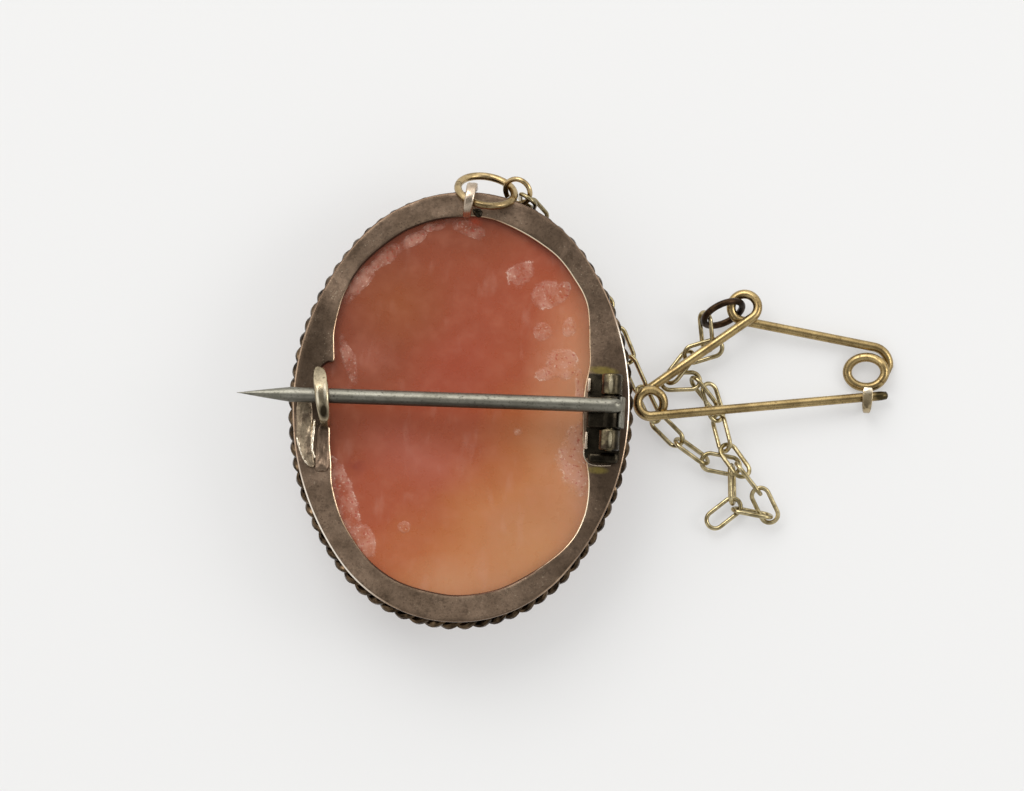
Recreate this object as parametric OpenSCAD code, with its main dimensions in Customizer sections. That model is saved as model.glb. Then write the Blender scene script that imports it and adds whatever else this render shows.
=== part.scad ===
// Oval shell cameo brooch lying face down: soldered back and bezel with a rope edge,
// a hinged stem under a hook, and a fine safety chain that ends in a small safety pin.
// X and Y lie on the table, the oval's long way is along Y, and +Z points up from the brooch's back.

/* [Body] */
// Width over the rope edge
body_w = 27.8; // [24:0.1:34]
// Length over the rope edge
body_l = 35.4; // [31:0.5:44]
// Thickness of the back plate
plate_t = 0.5; // [0.4:0.05:0.7]
// How far the plate's edge lies inside the rope's outer edge
plate_inset = 0.7; // [0.6:0.05:0.9]
// Width of the plate's ring at the top and bottom
ring_end_w = 1.9; // [1.6:0.1:2.4]
// Width of the plate's ring at the sides
ring_side_w = 2.7; // [2.3:0.05:3]
// Squareness of the opening, where 2 is an ellipse
opening_power = 2.55; // [2:0.05:2.7]
// Thickness of the upright band round the shell
band_t = 0.5; // [0.4:0.05:0.8]
// Depth of the band under the plate
band_h = 3; // [2.6:0.1:3.2]
// How far the front lip reaches over the shell
lip_w = 0.9; // [0.6:0.05:1.1]
// Thickness of the front lip
lip_t = 0.3; // [0.2:0.05:0.4]

/* [Rope edge] */
// Diameter of the twisted wire
rope_d = 1.24; // [1:0.02:1.4]
// Turns of the twist round the whole edge
rope_turns = 38; // [32:1:46]
// Height of the rope's middle under the back's face
rope_drop = 2.5; // [1.6:0.1:2.8]

/* [Shell] */
// Gap between the shell and its metal
shell_gap = 0.1; // [0.05:0.01:0.15]
// Depth of the hollow in the shell's back
hollow_h = 0.4; // [0.2:0.05:0.6]
// Height of the carving over the ground at its middle
relief_h = 2.4; // [2:0.1:2.8]
// Height that the ground rises from its edge to its middle
ground_rise = 1.6; // [1:0.1:2]

/* [Hinge] */
// Diameter of the knuckles
knuckle_d = 1.65; // [1.5:0.05:1.8]
// Diameter of the rivet
rivet_d = 0.7; // [0.6:0.05:0.8]
// Running gap round the rivet
rivet_gap = 0.05; // [0.03:0.01:0.08]
// Length of each outer knuckle
outer_l = 1.7; // [1.4:0.1:2]
// Length of the middle knuckle
middle_l = 2.6; // [2.2:0.1:3]
// Gap between two knuckles
knuckle_gap = 0.06; // [0.05:0.01:0.1]
// Height of the hinge's axis above the back
hinge_h = 1.3; // [1.25:0.05:1.5]
// Distance from the plate's outer edge to the hinge's axis
hinge_inset = 1.27; // [1.2:0.01:1.5]
// Thickness of the hinge's foot
foot_t = 0.35; // [0.3:0.05:0.4]

/* [Stem] */
// Diameter of the stem
stem_d = 1.2; // [1:0.05:1.3]
// Reach of the point past the rope edge
stem_past = 4; // [3:0.05:5]
// Length of the tapered point
point_l = 4.3; // [3:0.1:6]
// How much lower the stem lies at the hook than at the hinge
stem_fall = 0.42; // [0.3:0.02:0.5]
// Thickness of the strap that wraps the stem's knuckle
strap_t = 0.33; // [0.25:0.01:0.35]
// How far the strap reaches down round the knuckle, in degrees under the level
strap_low = 35; // [0:5:40]

/* [Hook] */
// Width of the hook's strip
hook_w = 1.1; // [0.9:0.05:1.3]
// Thickness of the hook's strip
hook_t = 0.6; // [0.45:0.05:0.6]
// Inner radius of the hook's curve
hook_r = 1.9; // [1.8:0.05:2.1]
// Distance from the plate's outer edge to the hook's middle
hook_inset = 2.23; // [2.05:0.02:2.45]

/* [Rings] */
// Outer diameter of the top ring
top_ring_d = 5.2; // [4.8:0.1:5.4]
// Wire of the top ring
top_ring_wire = 0.62; // [0.5:0.02:0.64]
// Width of the staple that holds the top ring
staple_w = 0.9; // [0.8:0.05:1.1]
// Thickness of the staple's strip
staple_t = 0.4; // [0.3:0.05:0.45]
// Outer diameter of the chain's first ring
first_ring_d = 2.55; // [2.5:0.05:2.6]
// Wire of the chain's first ring
first_ring_wire = 0.42; // [0.38:0.01:0.44]
// Outer diameter of the chain's last ring
end_ring_d = 3.9; // [3.8:0.05:4]
// Wire of the chain's last ring
end_ring_wire = 0.55; // [0.45:0.01:0.56]

/* [Chain] */
// Outer length of a link
link_l = 3.5; // [3.48:0.01:3.52]
// Outer width of a link
link_w = 1.75; // [1.7:0.01:1.8]
// Wire of a link
link_wire = 0.36; // [0.33:0.01:0.37]

/* [Safety pin] */
// Wire of the safety pin
pin_wire = 0.75; // [0.6:0.05:0.8]
// Mean radius of its left loop, the spring
spring_r = 1.06; // [1:0.02:1.1]
// Mean radius of its top loop, which holds the chain
eye_r = 1.07; // [1.02:0.01:1.12]
// Mean radius of its right loop, beside the catch
catch_loop_r = 1.5; // [1.4:0.02:1.56]
// Width of the flat catch
catch_w = 0.95; // [0.8:0.05:1]
// Thickness of the flat catch
catch_t = 0.3; // [0.24:0.02:0.32]

/* [Hidden] */

half_w = body_w / 2;
half_l = body_l / 2;
weld = 0.02; // how far soldered shapes run into each other
over = 1; // how far a cut runs past what it cuts
block = 5; // size of a block that cuts a loop open
tip_r = 0.06; // radius of a sharp point

// The oval has four arcs, and its end arcs' radius is this share of its half width
end_share = 0.855;
end_r = end_share * half_w;
end_c = half_l - end_r;
side_r = (half_w * half_w + end_c * end_c - end_r * end_r) / (2 * (half_w - end_r));
side_c = side_r - half_w;
arc_turn = atan2(end_c, side_c); // where a side arc meets an end arc, seen from the side arc's centre

// Heights of the metal and of the shell
ground_low = relief_h;
shell_rim = ground_low + ground_rise;
band_low = shell_rim - shell_gap - lip_t;
plate_low = band_low + band_h;
back_z = plate_low + plate_t;
rope_z = back_z - rope_drop;
shell_top = plate_low - shell_gap;

// Insets from the rope's outer edge
rope_inset = rope_d / 2;
rope_clear = 0.02;
band_inset = rope_d + rope_clear;
seat_inset = band_inset + band_t;
shell_inset = seat_inset + shell_gap;
lip_inset = seat_inset + lip_w;
ground_inset = lip_inset + shell_gap;
shell_w = half_w - ground_inset;
shell_l = half_l - ground_inset;

// Hinge, stem and hook
hinge_x = half_w - plate_inset - hinge_inset;
hinge_y = 0.23;
hinge_z = back_z + hinge_h;
knuckle_r = knuckle_d / 2;
bore_r = rivet_d / 2 + rivet_gap;
hinge_half = middle_l / 2 + knuckle_gap + outer_l;
foot_back = 1.85; // how far the foot reaches from the axis to the oval's middle
foot_over = 0.4; // how far it reaches past the lower knuckle
cheek_share = 0.8; // half width of the wall under a knuckle, as a share of the knuckle's radius
strap_gap = 0.1;
stem_r = stem_d / 2;
stem_y = 0.72;
stem_sink = 0.45; // how deep the stem lies in its knuckle
stem_high = hinge_z + knuckle_r + stem_r - stem_sink;
hook_x = -half_w + plate_inset + hook_inset;
stem_slope = atan2(stem_fall, hinge_x - hook_x);
stem_turn = 1; // how far the stem points off the short way, in degrees
stem_len = half_w + stem_past + hinge_x;
stem_at_hook = stem_high - stem_fall;
hook_gap = 0.12;
hook_z = stem_at_hook + stem_r + hook_gap - hook_r;
hook_y = 0.35;
hook_open = 25; // where the free end stops, in degrees above the level
patch_out = 0.35; // how far the solder patch lies outside the hook's middle
patch_low = -5.3;
patch_high = -0.4;
patch_r = 1.35;
patch_t = 0.4;
ridge_out = 0.55; // how far the ridge on the patch lies outside the hook's middle
ridge_low = patch_low + 0.5;
ridge_r = 0.28;

// Rings at the top
staple_x = -0.25;
staple_inset = 0.25;
staple_rise = 0.65;
staple_y = half_l - plate_inset - staple_inset;
staple_z = back_z + staple_rise;
staple_r = 1;
staple_foot = 0.3; // how far the staple's outer leg ends above the rope's middle
top_ring_at = [1.05, half_l + 0.12, back_z - 0.65];
top_ring_turn = -8;
top_ring_lean = -58;
first_ring_at = [3.58, half_l + 0.16, 6];
first_ring_turn = -35;
first_ring_lean = 38;
end_ring_at = [20.7, 9.3, 1.85];
end_ring_turn = 27;
end_ring_lean = 68;
chain_start = [4.46, 17.28];
link_slack = 0.07; // how far a joint stays from pulled tight
link_reach = link_l / 2 - link_wire - link_slack; // from a link's middle to its joint

// The chain's route from the first ring to the last. A link's row gives its heading, climb and roll in
// degrees and its middle's height, and for a slack link how far its two joints lie from its middle.
LINK_ROUTE = [
    [-122, -86, 0, 5.08],
    [-40, -50, 0, 2.77],
    [-55, -25, 60, 1.27],
    [-40, 0, -5, 0.8, 1.05, 1.05],
    [-64, 0, 85, 0.9, 1.05, 1.05],
    [-40, 0, 5, 0.8, 1.05, 1.05],
    [-64, 0, 80, 0.9, 1.05, 1.05],
    [-65, 0, -25, 0.75],
    [-63, 0, 45, 0.72],
    [-61, 0, -45, 0.72],
    [-42, 0, 35, 0.75],
    [-33, 0, -60, 0.82],
    [-8, 0, 5, 0.75, 1.3, 0.9],
    [-86, 0, -75, 0.88, 1.5, 1.78],
    [41, 0, 5, 0.75, -0.9, 0.6],
    [-8, 0, -75, 0.9, 1.86, 1.5],
    [120, 20, -10, 1.38, 1.05, 1.3],
    [131, 0, 85, 1.98, 1.3, 0.55],
    [128, -12, 25, 1.6],
    [107, -12, -50, 1.03],
    [110, 0, 35, 0.85, 1.3, -0.35],
    [131, 0, -70, 1],
    [185, 0, 5, 0.87, 1.1, 1],
    [55, 0, -45, 0.75, 1.5, 1.2],
    [20, 0, 15, 0.8, 1.25, 0.4],
    [99, 12, -55, 1.1, 1.5, 1.3]
];

// The safety pin's wire as it lies: its loops' middles and heights, and its needle's tip
spring_at = [15.2, 1.65];
spring_high = 2.7;
spring_low = 1.85;
eye_at = [22.4, 9.9];
eye_high = 2.25;
eye_low = 1.35;
needle_tip = [34.4, 3.45, 0.85];
needle_point_l = 2.2;
diagonal_heading = 34.1;
arm_heading = -7.9;
bend_at = [32.95, 5.89];
bend_r = 1.45;
bend_high = 0.75;
bend_low = 0.43;
catch_loop_at = [32.55, 5.25];
catch_loop_squash = 0.8; // the loop's short way as a share of its long way
catch_loop_rise = 0.92; // how far its end climbs over its start
catch_x = 32.75;
leaf_gap = 0.22; // between the needle and the catch's upper leaf
leaf_low = catch_t / 2 + 0.02;

// The catch's strip from its upper leaf round the needle to its lower leaf: a shift along X, a shift along
// Y from the needle, and a height as a share of the way from the lower leaf to the upper one
CATCH_FOLD = [
    [0.15, 0.2, 0.985], [0, -0.3, 1], [0, -0.75, 1], [0, -1.1, 0.83],
    [0, -1.2, 0.5], [0, -1.1, 0.17], [0, -0.75, 0], [0, -0.1, 0]
];

/* Shapes that repeat */

module oval(inset) {
    side_turn_y = (side_r - inset) * sin(arc_turn);
    intersection() {
        translate([-side_c, 0]) circle(side_r - inset, $fn = 180);
        translate([side_c, 0]) circle(side_r - inset, $fn = 180);
        square([body_w, 2 * side_turn_y], center = true);
    }
    for (end = [-1, 1])
        translate([0, end * end_c]) circle(end_r - inset, $fn = 180);
}

module oval_slab(inset, low, high) {
    translate([0, 0, low]) linear_extrude(high - low) oval(inset);
}

// A point on the oval, where turn runs from 0 to 1 by the arcs' lengths, with its heading
function oval_at(turn, inset) =
    let (
        side_len = (side_r - inset) * arc_turn,
        end_len = (end_r - inset) * (90 - arc_turn),
        quarter = side_len + end_len,
        folded = turn * 4,
        part = floor(folded),
        along = (part % 2 == 0 ? folded - part : 1 - folded + part) * quarter,
        on_side = along <= side_len,
        swing = on_side ? along / (side_r - inset) : arc_turn + (along - side_len) / (end_r - inset),
        radius = on_side ? side_r - inset : end_r - inset,
        x = (on_side ? -side_c : 0) + radius * cos(swing),
        y = (on_side ? 0 : end_c) + radius * sin(swing),
        sx = part == 1 || part == 2 ? -1 : 1,
        sy = part >= 2 ? -1 : 1
    )
    [sx * x, sy * y, atan2(sy * sin(swing), sx * cos(swing))];

// A closed smooth line through a few points, given as shares of the shell's ground
function smooth_outline(points, steps = 4) =
    let (count = len(points))
    [for (i = [0 : count - 1], s = [0 : steps - 1])
        let (
            a = points[(i + count - 1) % count],
            b = points[i],
            c = points[(i + 1) % count],
            d = points[(i + 2) % count],
            t = s / steps
        )
        0.5 * (2 * b + (c - a) * t + (2 * a - 5 * b + 4 * c - d) * t * t
            + (3 * b - a - 3 * c + d) * t * t * t)];

function on_shell(points) = [for (p = points) [-p[0] * shell_w, p[1] * shell_l]];

// A closed tube through rings of points, with its ends capped unless it joins itself
module skin(rings, joined) {
    sides = len(rings[0]);
    count = len(rings);
    spans = joined ? count : count - 1;
    walls = [for (i = [0 : spans - 1], j = [0 : sides - 1], half = [0, 1])
        let (
            a = i * sides + j,
            b = i * sides + (j + 1) % sides,
            c = ((i + 1) % count) * sides + (j + 1) % sides,
            d = ((i + 1) % count) * sides + j
        )
        half == 0 ? [a, b, c] : [a, c, d]];
    first_cap = [for (j = [sides - 1 : -1 : 0]) j];
    last_cap = [for (j = [0 : sides - 1]) (count - 1) * sides + j];
    polyhedron([for (ring = rings, p = ring) p], joined ? walls : concat(walls, [first_cap, last_cap]));
}

module ring(outer_d, wire) {
    rotate_extrude($fn = 96) translate([(outer_d - wire) / 2, 0]) circle(wire / 2, $fn = 32);
}

module chain_link() {
    bend = (link_w - link_wire) / 2;
    straight = link_l - link_w;
    for (end = [0, 180])
        rotate([0, 0, end]) translate([straight / 2, 0, 0]) rotate([0, 0, -90])
            rotate_extrude(angle = 180, $fn = 96) translate([bend, 0]) circle(link_wire / 2, $fn = 32);
    for (side = [-1, 1])
        translate([-straight / 2, side * bend, 0]) rotate([0, 90, 0])
            cylinder(straight, r = link_wire / 2, $fn = 32);
}

// Where the chain's walk stands, seen from above, after so many links
function chain_joint(links) =
    links == 0 ? chain_start : link_middle(links) + link_stride(links, 5);

function link_middle(number) = chain_joint(number - 1) + link_stride(number, 4);

function link_stride(number, column) =
    let (row = LINK_ROUTE[number - 1], reach = is_undef(row[column]) ? link_reach : row[column])
    reach * cos(row[1]) * [cos(row[0]), sin(row[0])];

module placed_link(number) {
    row = LINK_ROUTE[number - 1];
    middle = link_middle(number);
    color("darkkhaki")
        translate([middle[0], middle[1], row[3]]) rotate([0, 0, row[0]]) rotate([0, -row[1], 0])
            rotate([row[2], 0, 0]) chain_link();
}

/* Frame: the band, the back plate, and the hinge, hook and staple soldered to them */

module opening() {
    wide = half_w - plate_inset - ring_side_w;
    tall = half_l - plate_inset - ring_end_w;
    power = 2 / opening_power;
    polygon([for (a = [0 : 5 : 355])
        [sign(cos(a)) * wide * pow(abs(cos(a)), power), sign(sin(a)) * tall * pow(abs(sin(a)), power)]]);
}

module knuckle(low, high) {
    translate([hinge_x, low, hinge_z]) rotate([-90, 0, 0]) cylinder(high - low, r = knuckle_r, $fn = 64);
}

module rivet_line(radius, low, high) {
    translate([hinge_x, low, hinge_z]) rotate([-90, 0, 0]) cylinder(high - low, r = radius, $fn = 64);
}

module hinge_seat() {
    low = hinge_y - hinge_half;
    inner = hinge_y - middle_l / 2 - knuckle_gap;
    foot_w = foot_back + knuckle_r;
    difference() {
        union() {
            translate([hinge_x - foot_back, low - foot_over, back_z - weld])
                cube([foot_w, 2 * hinge_half + foot_over, foot_t + weld]);
            for (y = [low, hinge_y + middle_l / 2 + knuckle_gap]) {
                knuckle(y, y + outer_l);
                translate([hinge_x - knuckle_r * cheek_share, y, back_z - weld])
                    cube([2 * knuckle_r * cheek_share, outer_l, hinge_h]);
            }
        }
        translate([hinge_x - knuckle_r - strap_t - strap_gap, inner, back_z])
            cube([foot_w, middle_l + 2 * knuckle_gap, hinge_h]);
        rivet_line(bore_r, low - over, low + 2 * hinge_half + over);
    }
}

module hook() {
    root = hook_y - hook_r - hook_t;
    translate([hook_x - hook_w / 2, 0, 0]) {
        difference() {
            translate([0, hook_y, hook_z]) rotate([0, 90, 0])
                cylinder(hook_w, r = hook_r + hook_t, $fn = 96);
            translate([-over, hook_y, hook_z]) rotate([0, 90, 0])
                cylinder(hook_w + 2 * over, r = hook_r, $fn = 96);
            translate([-over, hook_y - block, hook_z - block])
                cube([hook_w + 2 * over, 2 * block, block]);
            translate([-over, hook_y, hook_z]) rotate([hook_open, 0, 0]) translate([0, 0, -block])
                cube([hook_w + 2 * over, block, block]);
        }
        translate([0, root, back_z - weld]) cube([hook_w, hook_t, hook_z - back_z + 2 * weld]);
    }
    patch_x = hook_x - patch_out;
    translate([patch_x, 0, back_z - weld]) linear_extrude(patch_t + weld)
        intersection() {
            union() {
                translate([0, patch_low + patch_r]) circle(patch_r, $fn = 64);
                translate([0, patch_high - patch_r]) circle(patch_r, $fn = 64);
                translate([-patch_r, patch_low + patch_r])
                    square([2 * patch_r, patch_high - patch_low - 2 * patch_r]);
            }
            translate([-patch_x, 0]) oval(plate_inset);
        }
    translate([hook_x - ridge_out, ridge_low, back_z + patch_t]) rotate([-90, 0, 0])
        cylinder(root + hook_t - ridge_low, r = ridge_r, $fn = 32);
}

module staple() {
    outer = staple_r + staple_t;
    leg_low = rope_z + staple_foot;
    translate([staple_x - staple_w / 2, staple_y, 0]) {
        difference() {
            translate([0, 0, staple_z]) rotate([0, 90, 0]) cylinder(staple_w, r = outer, $fn = 96);
            translate([-over, 0, staple_z]) rotate([0, 90, 0])
                cylinder(staple_w + 2 * over, r = staple_r, $fn = 96);
            translate([-over, -block, staple_z - block]) cube([staple_w + 2 * over, 2 * block, block]);
        }
        translate([0, -outer, back_z - weld]) cube([staple_w, staple_t, staple_z - back_z + 2 * weld]);
        translate([0, staple_r, leg_low]) cube([staple_w, staple_t, staple_z - leg_low + weld]);
    }
}

module frame() {
    color("dimgray") {
        difference() {
            oval_slab(plate_inset, plate_low, back_z);
            translate([0, 0, plate_low - over]) linear_extrude(plate_t + 2 * over) opening();
        }
        difference() {
            oval_slab(band_inset, band_low, plate_low + weld);
            oval_slab(seat_inset, band_low + lip_t, plate_low + over);
            oval_slab(lip_inset, band_low - over, plate_low);
        }
        hinge_seat();
        hook();
        staple();
    }
}

/* Rope edge: two wires twisted together, laid round under the plate's edge */

module rope_edge() {
    sides = 10;
    steps = rope_turns * 6;
    waist = 0.26; // how deep the groove between the two wires is, as a share of the radius
    rings = [for (i = [0 : steps - 1])
        let (
            at = oval_at(i / steps, rope_inset),
            twist = 360 * rope_turns * i / steps
        )
        [for (j = [0 : sides - 1])
            let (
                a = 360 * j / sides,
                r = rope_inset * (1 - waist + waist * cos(2 * (a - twist)))
            )
            [at[0] + r * cos(a) * cos(at[2]), at[1] + r * cos(a) * sin(at[2]), rope_z + r * sin(a)]]];
    color("saddlebrown") skin(rings, true);
}

/* Cameo: the shell with its hollow back, its ground and the bust carved on it */

// Outlines as seen from the front, right and up, as shares of the ground's half width and half length
BUST = [
    [0.24, 0.62], [0.37, 0.53], [0.405, 0.455], [0.39, 0.405], [0.43, 0.355], [0.485, 0.3], [0.435, 0.268],
    [0.44, 0.235], [0.425, 0.212], [0.432, 0.19], [0.4, 0.165], [0.415, 0.13], [0.35, 0.085], [0.22, 0.07],
    [0.14, 0], [0.16, -0.12], [0.27, -0.25], [0.5, -0.4], [0.62, -0.56], [0.42, -0.72], [0, -0.8],
    [-0.42, -0.73], [-0.68, -0.54], [-0.58, -0.4], [-0.34, -0.27], [-0.2, -0.12], [-0.21, 0.08], [-0.3, 0.3],
    [-0.3, 0.5], [-0.12, 0.66]
];
HAIR = [
    [0.3, 0.6], [0.16, 0.5], [0.08, 0.34], [0, 0.16], [-0.12, 0.04], [-0.26, 0.1], [-0.4, 0.22],
    [-0.46, 0.42], [-0.36, 0.6], [-0.14, 0.71], [0.1, 0.72]
];
DRESS = [
    [0.3, -0.34], [0.54, -0.42], [0.62, -0.57], [0.42, -0.73], [0, -0.81], [-0.42, -0.74], [-0.68, -0.55],
    [-0.56, -0.42], [-0.28, -0.5], [0, -0.56], [0.2, -0.48]
];

// Each carved mass: its outline, the radius of the ball that rounds it, the ball's middle as shares, and its
// lowest point as a share of the carving's height
MASSES = [[BUST, 42, 0.05, -0.05, 0.32], [HAIR, 15, -0.1, 0.42, 0.1], [DRESS, 24, 0, -0.62, 0]];
knot = [-0.42, 0.4];
knot_r = 2.5;
hair_flower = [0.14, 0.6];
hair_flower_r = 1.6;
posy = [0.24, -0.5];
posy_r = 0.7;
petal_r = 0.85;
petal_out = [0.1, 0.075];

// A carved mass: an outline cut from a ball, so that its face is rounded and its edge is crisp
module carved(outline, ball_r, x, y, low) {
    intersection() {
        translate([0, 0, low - over]) linear_extrude(shell_rim - low + over) polygon(on_shell(outline));
        translate([-x * shell_w, y * shell_l, low + ball_r]) sphere(ball_r, $fn = 96);
    }
}

module bead_on(at, bead_r) {
    translate([-at[0] * shell_w, at[1] * shell_l, bead_r]) sphere(bead_r, $fn = 48);
}

// The lowest cap of a large ball, as far out and as high as asked
module low_cap(ball_r, reach, height) {
    rotate_extrude($fn = 180)
        intersection() {
            translate([0, ball_r]) circle(ball_r, $fn = 1440);
            square([reach, height]);
        }
}

module cameo() {
    middle = (shell_top + shell_rim) / 2;
    dome_r = (shell_l * shell_l + ground_rise * ground_rise) / (2 * ground_rise);
    edge_l = half_l - shell_inset;
    hollow_r = (edge_l * edge_l + hollow_h * hollow_h) / (2 * hollow_h);
    color("indianred")
        difference() {
            union() {
                oval_slab(shell_inset, shell_rim, shell_top);
                intersection() {
                    oval_slab(ground_inset, ground_low - over, middle);
                    translate([0, 0, ground_low + dome_r]) sphere(dome_r, $fn = 180);
                }
                for (mass = MASSES)
                    carved(smooth_outline(mass[0]), mass[1], mass[2], mass[3], mass[4] * relief_h);
                bead_on(knot, knot_r);
                bead_on(hair_flower, hair_flower_r);
                bead_on(posy, posy_r);
                for (turn = [0 : 72 : 288])
                    bead_on(posy + [petal_out[0] * cos(turn), petal_out[1] * sin(turn)], petal_r);
            }
            translate([0, 0, shell_top - hollow_h]) low_cap(hollow_r, edge_l + over, hollow_h + over);
        }
}

/* Stem, rivet, rings and chain */

module pin_stem() {
    low = hinge_y - middle_l / 2;
    color("lightslategray")
        difference() {
            union() {
                knuckle(low, low + middle_l);
                translate([hinge_x, stem_y, stem_high]) rotate([0, 0, stem_turn]) rotate([0, -stem_slope, 0])
                    rotate([0, -90, 0]) {
                        cylinder(stem_len - point_l, r = stem_r, $fn = 48);
                        translate([0, 0, stem_len - point_l])
                            cylinder(point_l, r1 = stem_r, r2 = tip_r, $fn = 48);
                    }
                translate([hinge_x, stem_y, stem_high]) sphere(stem_r, $fn = 48);
                strap();
            }
            rivet_line(bore_r, low - over, low + middle_l + over);
        }
}

// The stem's end, flattened and bent down round the outside of its knuckle
module strap() {
    strap_l = middle_l - strap_gap;
    outer = knuckle_r + strap_t;
    reach = 2 * outer;
    translate([hinge_x, hinge_y - strap_l / 2, hinge_z]) rotate([-90, 0, 0])
        intersection() {
            cylinder(strap_l, r = outer, $fn = 64);
            linear_extrude(strap_l)
                polygon([[0, 0], [-strap_t, -reach], [reach, -reach], [reach, reach * tan(strap_low)]]);
        }
}

module hinge_rivet() {
    low = hinge_y - hinge_half;
    color("gray") rivet_line(rivet_d / 2, low, low + 2 * hinge_half);
}

module top_ring() {
    color("goldenrod")
        translate(top_ring_at) rotate([0, 0, top_ring_turn]) rotate([top_ring_lean, 0, 0])
            ring(top_ring_d, top_ring_wire);
}

module first_ring() {
    color("darkkhaki")
        translate(first_ring_at) rotate([0, 0, first_ring_turn]) rotate([first_ring_lean, 0, 0])
            ring(first_ring_d, first_ring_wire);
}

module end_ring() {
    color("darkslategray")
        translate(end_ring_at) rotate([0, 0, end_ring_turn]) rotate([end_ring_lean, 0, 0])
            ring(end_ring_d, end_ring_wire);
}

/* Safety pin: one wire from the needle's point, through three loops, to the flat catch */

function on_loop(at, radius, turn, z, squash = 1) =
    [at[0] + radius * cos(turn), at[1] + radius * squash * sin(turn), z];

// A value that stays at first until share_a of the way, then moves evenly to last at share_b
function ramp(share, share_a, share_b, first, last) =
    first + (last - first) * min(1, max(0, (share - share_a) / (share_b - share_a)));

function unit(v) = v / norm(v);

// The heading of a line from a point that touches a loop on the loop's left, when it turns clockwise
function heading_to_loop(from, at, radius) =
    let (d = [at[0] - from[0], at[1] - from[1]]) atan2(d[1], d[0]) + asin(radius / norm(d)) + 360;

module safety_pin() {
    wire_r = pin_wire / 2;
    steps = 16; // points to a turn
    needle_heading = heading_to_loop(needle_tip, spring_at, spring_r);
    spring_in = needle_heading + 90;
    spring_out = diagonal_heading + 90 - 360;
    single = (spring_in - spring_out - 360) / (spring_in - spring_out);
    spring_steps = floor(steps * (spring_in - spring_out) / 360);
    spring = [for (i = [0 : spring_steps])
        let (s = i / spring_steps)
        on_loop(spring_at, spring_r, spring_in + (spring_out - spring_in) * s,
            ramp(s, single, 1 - single, spring_high, spring_low))];
    eye_in = diagonal_heading - 90;
    eye_out = arm_heading + 270;
    eye_steps = floor(steps * (eye_out - eye_in) / 360);
    eye = [for (i = [0 : eye_steps])
        let (s = i / eye_steps)
        on_loop(eye_at, eye_r, eye_in + (eye_out - eye_in) * s, eye_high + (eye_low - eye_high) * s)];
    bend = [for (s = [0 : 0.25 : 1])
        on_loop(bend_at, bend_r, (arm_heading + 90) * (1 - s), bend_high + (bend_low - bend_high) * s)];
    catch_loop = [for (i = [1 : steps + 2])
        let (turn = -360 * i / steps)
        on_loop(catch_loop_at, catch_loop_r, turn, ramp(-turn, 180, 330, wire_r, wire_r + catch_loop_rise),
            catch_loop_squash)];
    leaf_high = needle_tip[2] + wire_r + leaf_gap + catch_t / 2;
    strip = [for (fold = CATCH_FOLD)
        [catch_x + fold[0], needle_tip[1] + fold[1], leaf_low + (leaf_high - leaf_low) * fold[2]]];
    shoulder = needle_tip + needle_point_l * unit(spring[0] - needle_tip);
    route = concat([needle_tip, shoulder], spring, eye, bend, catch_loop, strip);
    count = len(route);
    flat_from = count - len(strip);
    rings = [for (i = [0 : count - 1])
        let (
            way = unit(route[min(i + 1, count - 1)] - route[max(i - 1, 0)]),
            flat = i >= flat_from,
            side = flat ? [1, 0, 0] : unit(cross(way, [0, 0, 1])),
            rise = unit(cross(side, way)),
            wide = i == 0 ? tip_r : flat ? catch_w / 2 : wire_r,
            thick = i == 0 ? tip_r : flat ? catch_t / 2 : wire_r
        )
        [for (a = [22.5 : 45 : 337.5])
            route[i] + side * wide * cos(a) / cos(22.5) + rise * thick * sin(a)]];
    color("peru") skin(rings, false);
}

frame();
rope_edge();
cameo();
hinge_rivet();
pin_stem();
top_ring();
first_ring();
end_ring();
safety_pin();
placed_link(1);  // link_01
placed_link(2);  // link_02
placed_link(3);  // link_03
placed_link(4);  // link_04
placed_link(5);  // link_05
placed_link(6);  // link_06
placed_link(7);  // link_07
placed_link(8);  // link_08
placed_link(9);  // link_09
placed_link(10);  // link_10
placed_link(11);  // link_11
placed_link(12);  // link_12
placed_link(13);  // link_13
placed_link(14);  // link_14
placed_link(15);  // link_15
placed_link(16);  // link_16
placed_link(17);  // link_17
placed_link(18);  // link_18
placed_link(19);  // link_19
placed_link(20);  // link_20
placed_link(21);  // link_21
placed_link(22);  // link_22
placed_link(23);  // link_23
placed_link(24);  // link_24
placed_link(25);  // link_25
placed_link(26);  // link_26
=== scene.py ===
import math

import bmesh
import bpy
import numpy as np
from mathutils import Matrix, Vector, noise


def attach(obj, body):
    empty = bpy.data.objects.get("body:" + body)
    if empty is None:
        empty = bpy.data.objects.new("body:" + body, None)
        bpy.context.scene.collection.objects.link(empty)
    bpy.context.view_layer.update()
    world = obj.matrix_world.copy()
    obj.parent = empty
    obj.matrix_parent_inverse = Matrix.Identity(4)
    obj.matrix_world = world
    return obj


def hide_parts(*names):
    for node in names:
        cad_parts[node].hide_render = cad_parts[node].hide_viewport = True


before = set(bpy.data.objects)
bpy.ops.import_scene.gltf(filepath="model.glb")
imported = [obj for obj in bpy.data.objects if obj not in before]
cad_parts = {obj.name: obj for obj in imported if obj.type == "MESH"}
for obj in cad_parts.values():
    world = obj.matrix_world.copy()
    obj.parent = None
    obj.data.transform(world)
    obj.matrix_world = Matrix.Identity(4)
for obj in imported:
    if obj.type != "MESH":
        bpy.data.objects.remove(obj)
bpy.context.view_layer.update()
print("frame loaded")

mm = 0.001  # the shapes are worked out in millimetres and scaled once at the end
mergeReach = 0.0005


# camera, floor and light

# The photo's view, from almost straight above
cameraSetup = {
    "eye": (8.174, -35.041, 435.592),
    "aim": (4.017, 1.276, 7.1),
    "up": (-0.05322, 0.99518, 0.0824),
    "lens": 188.96,
    "sensor": 36,
}


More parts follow.
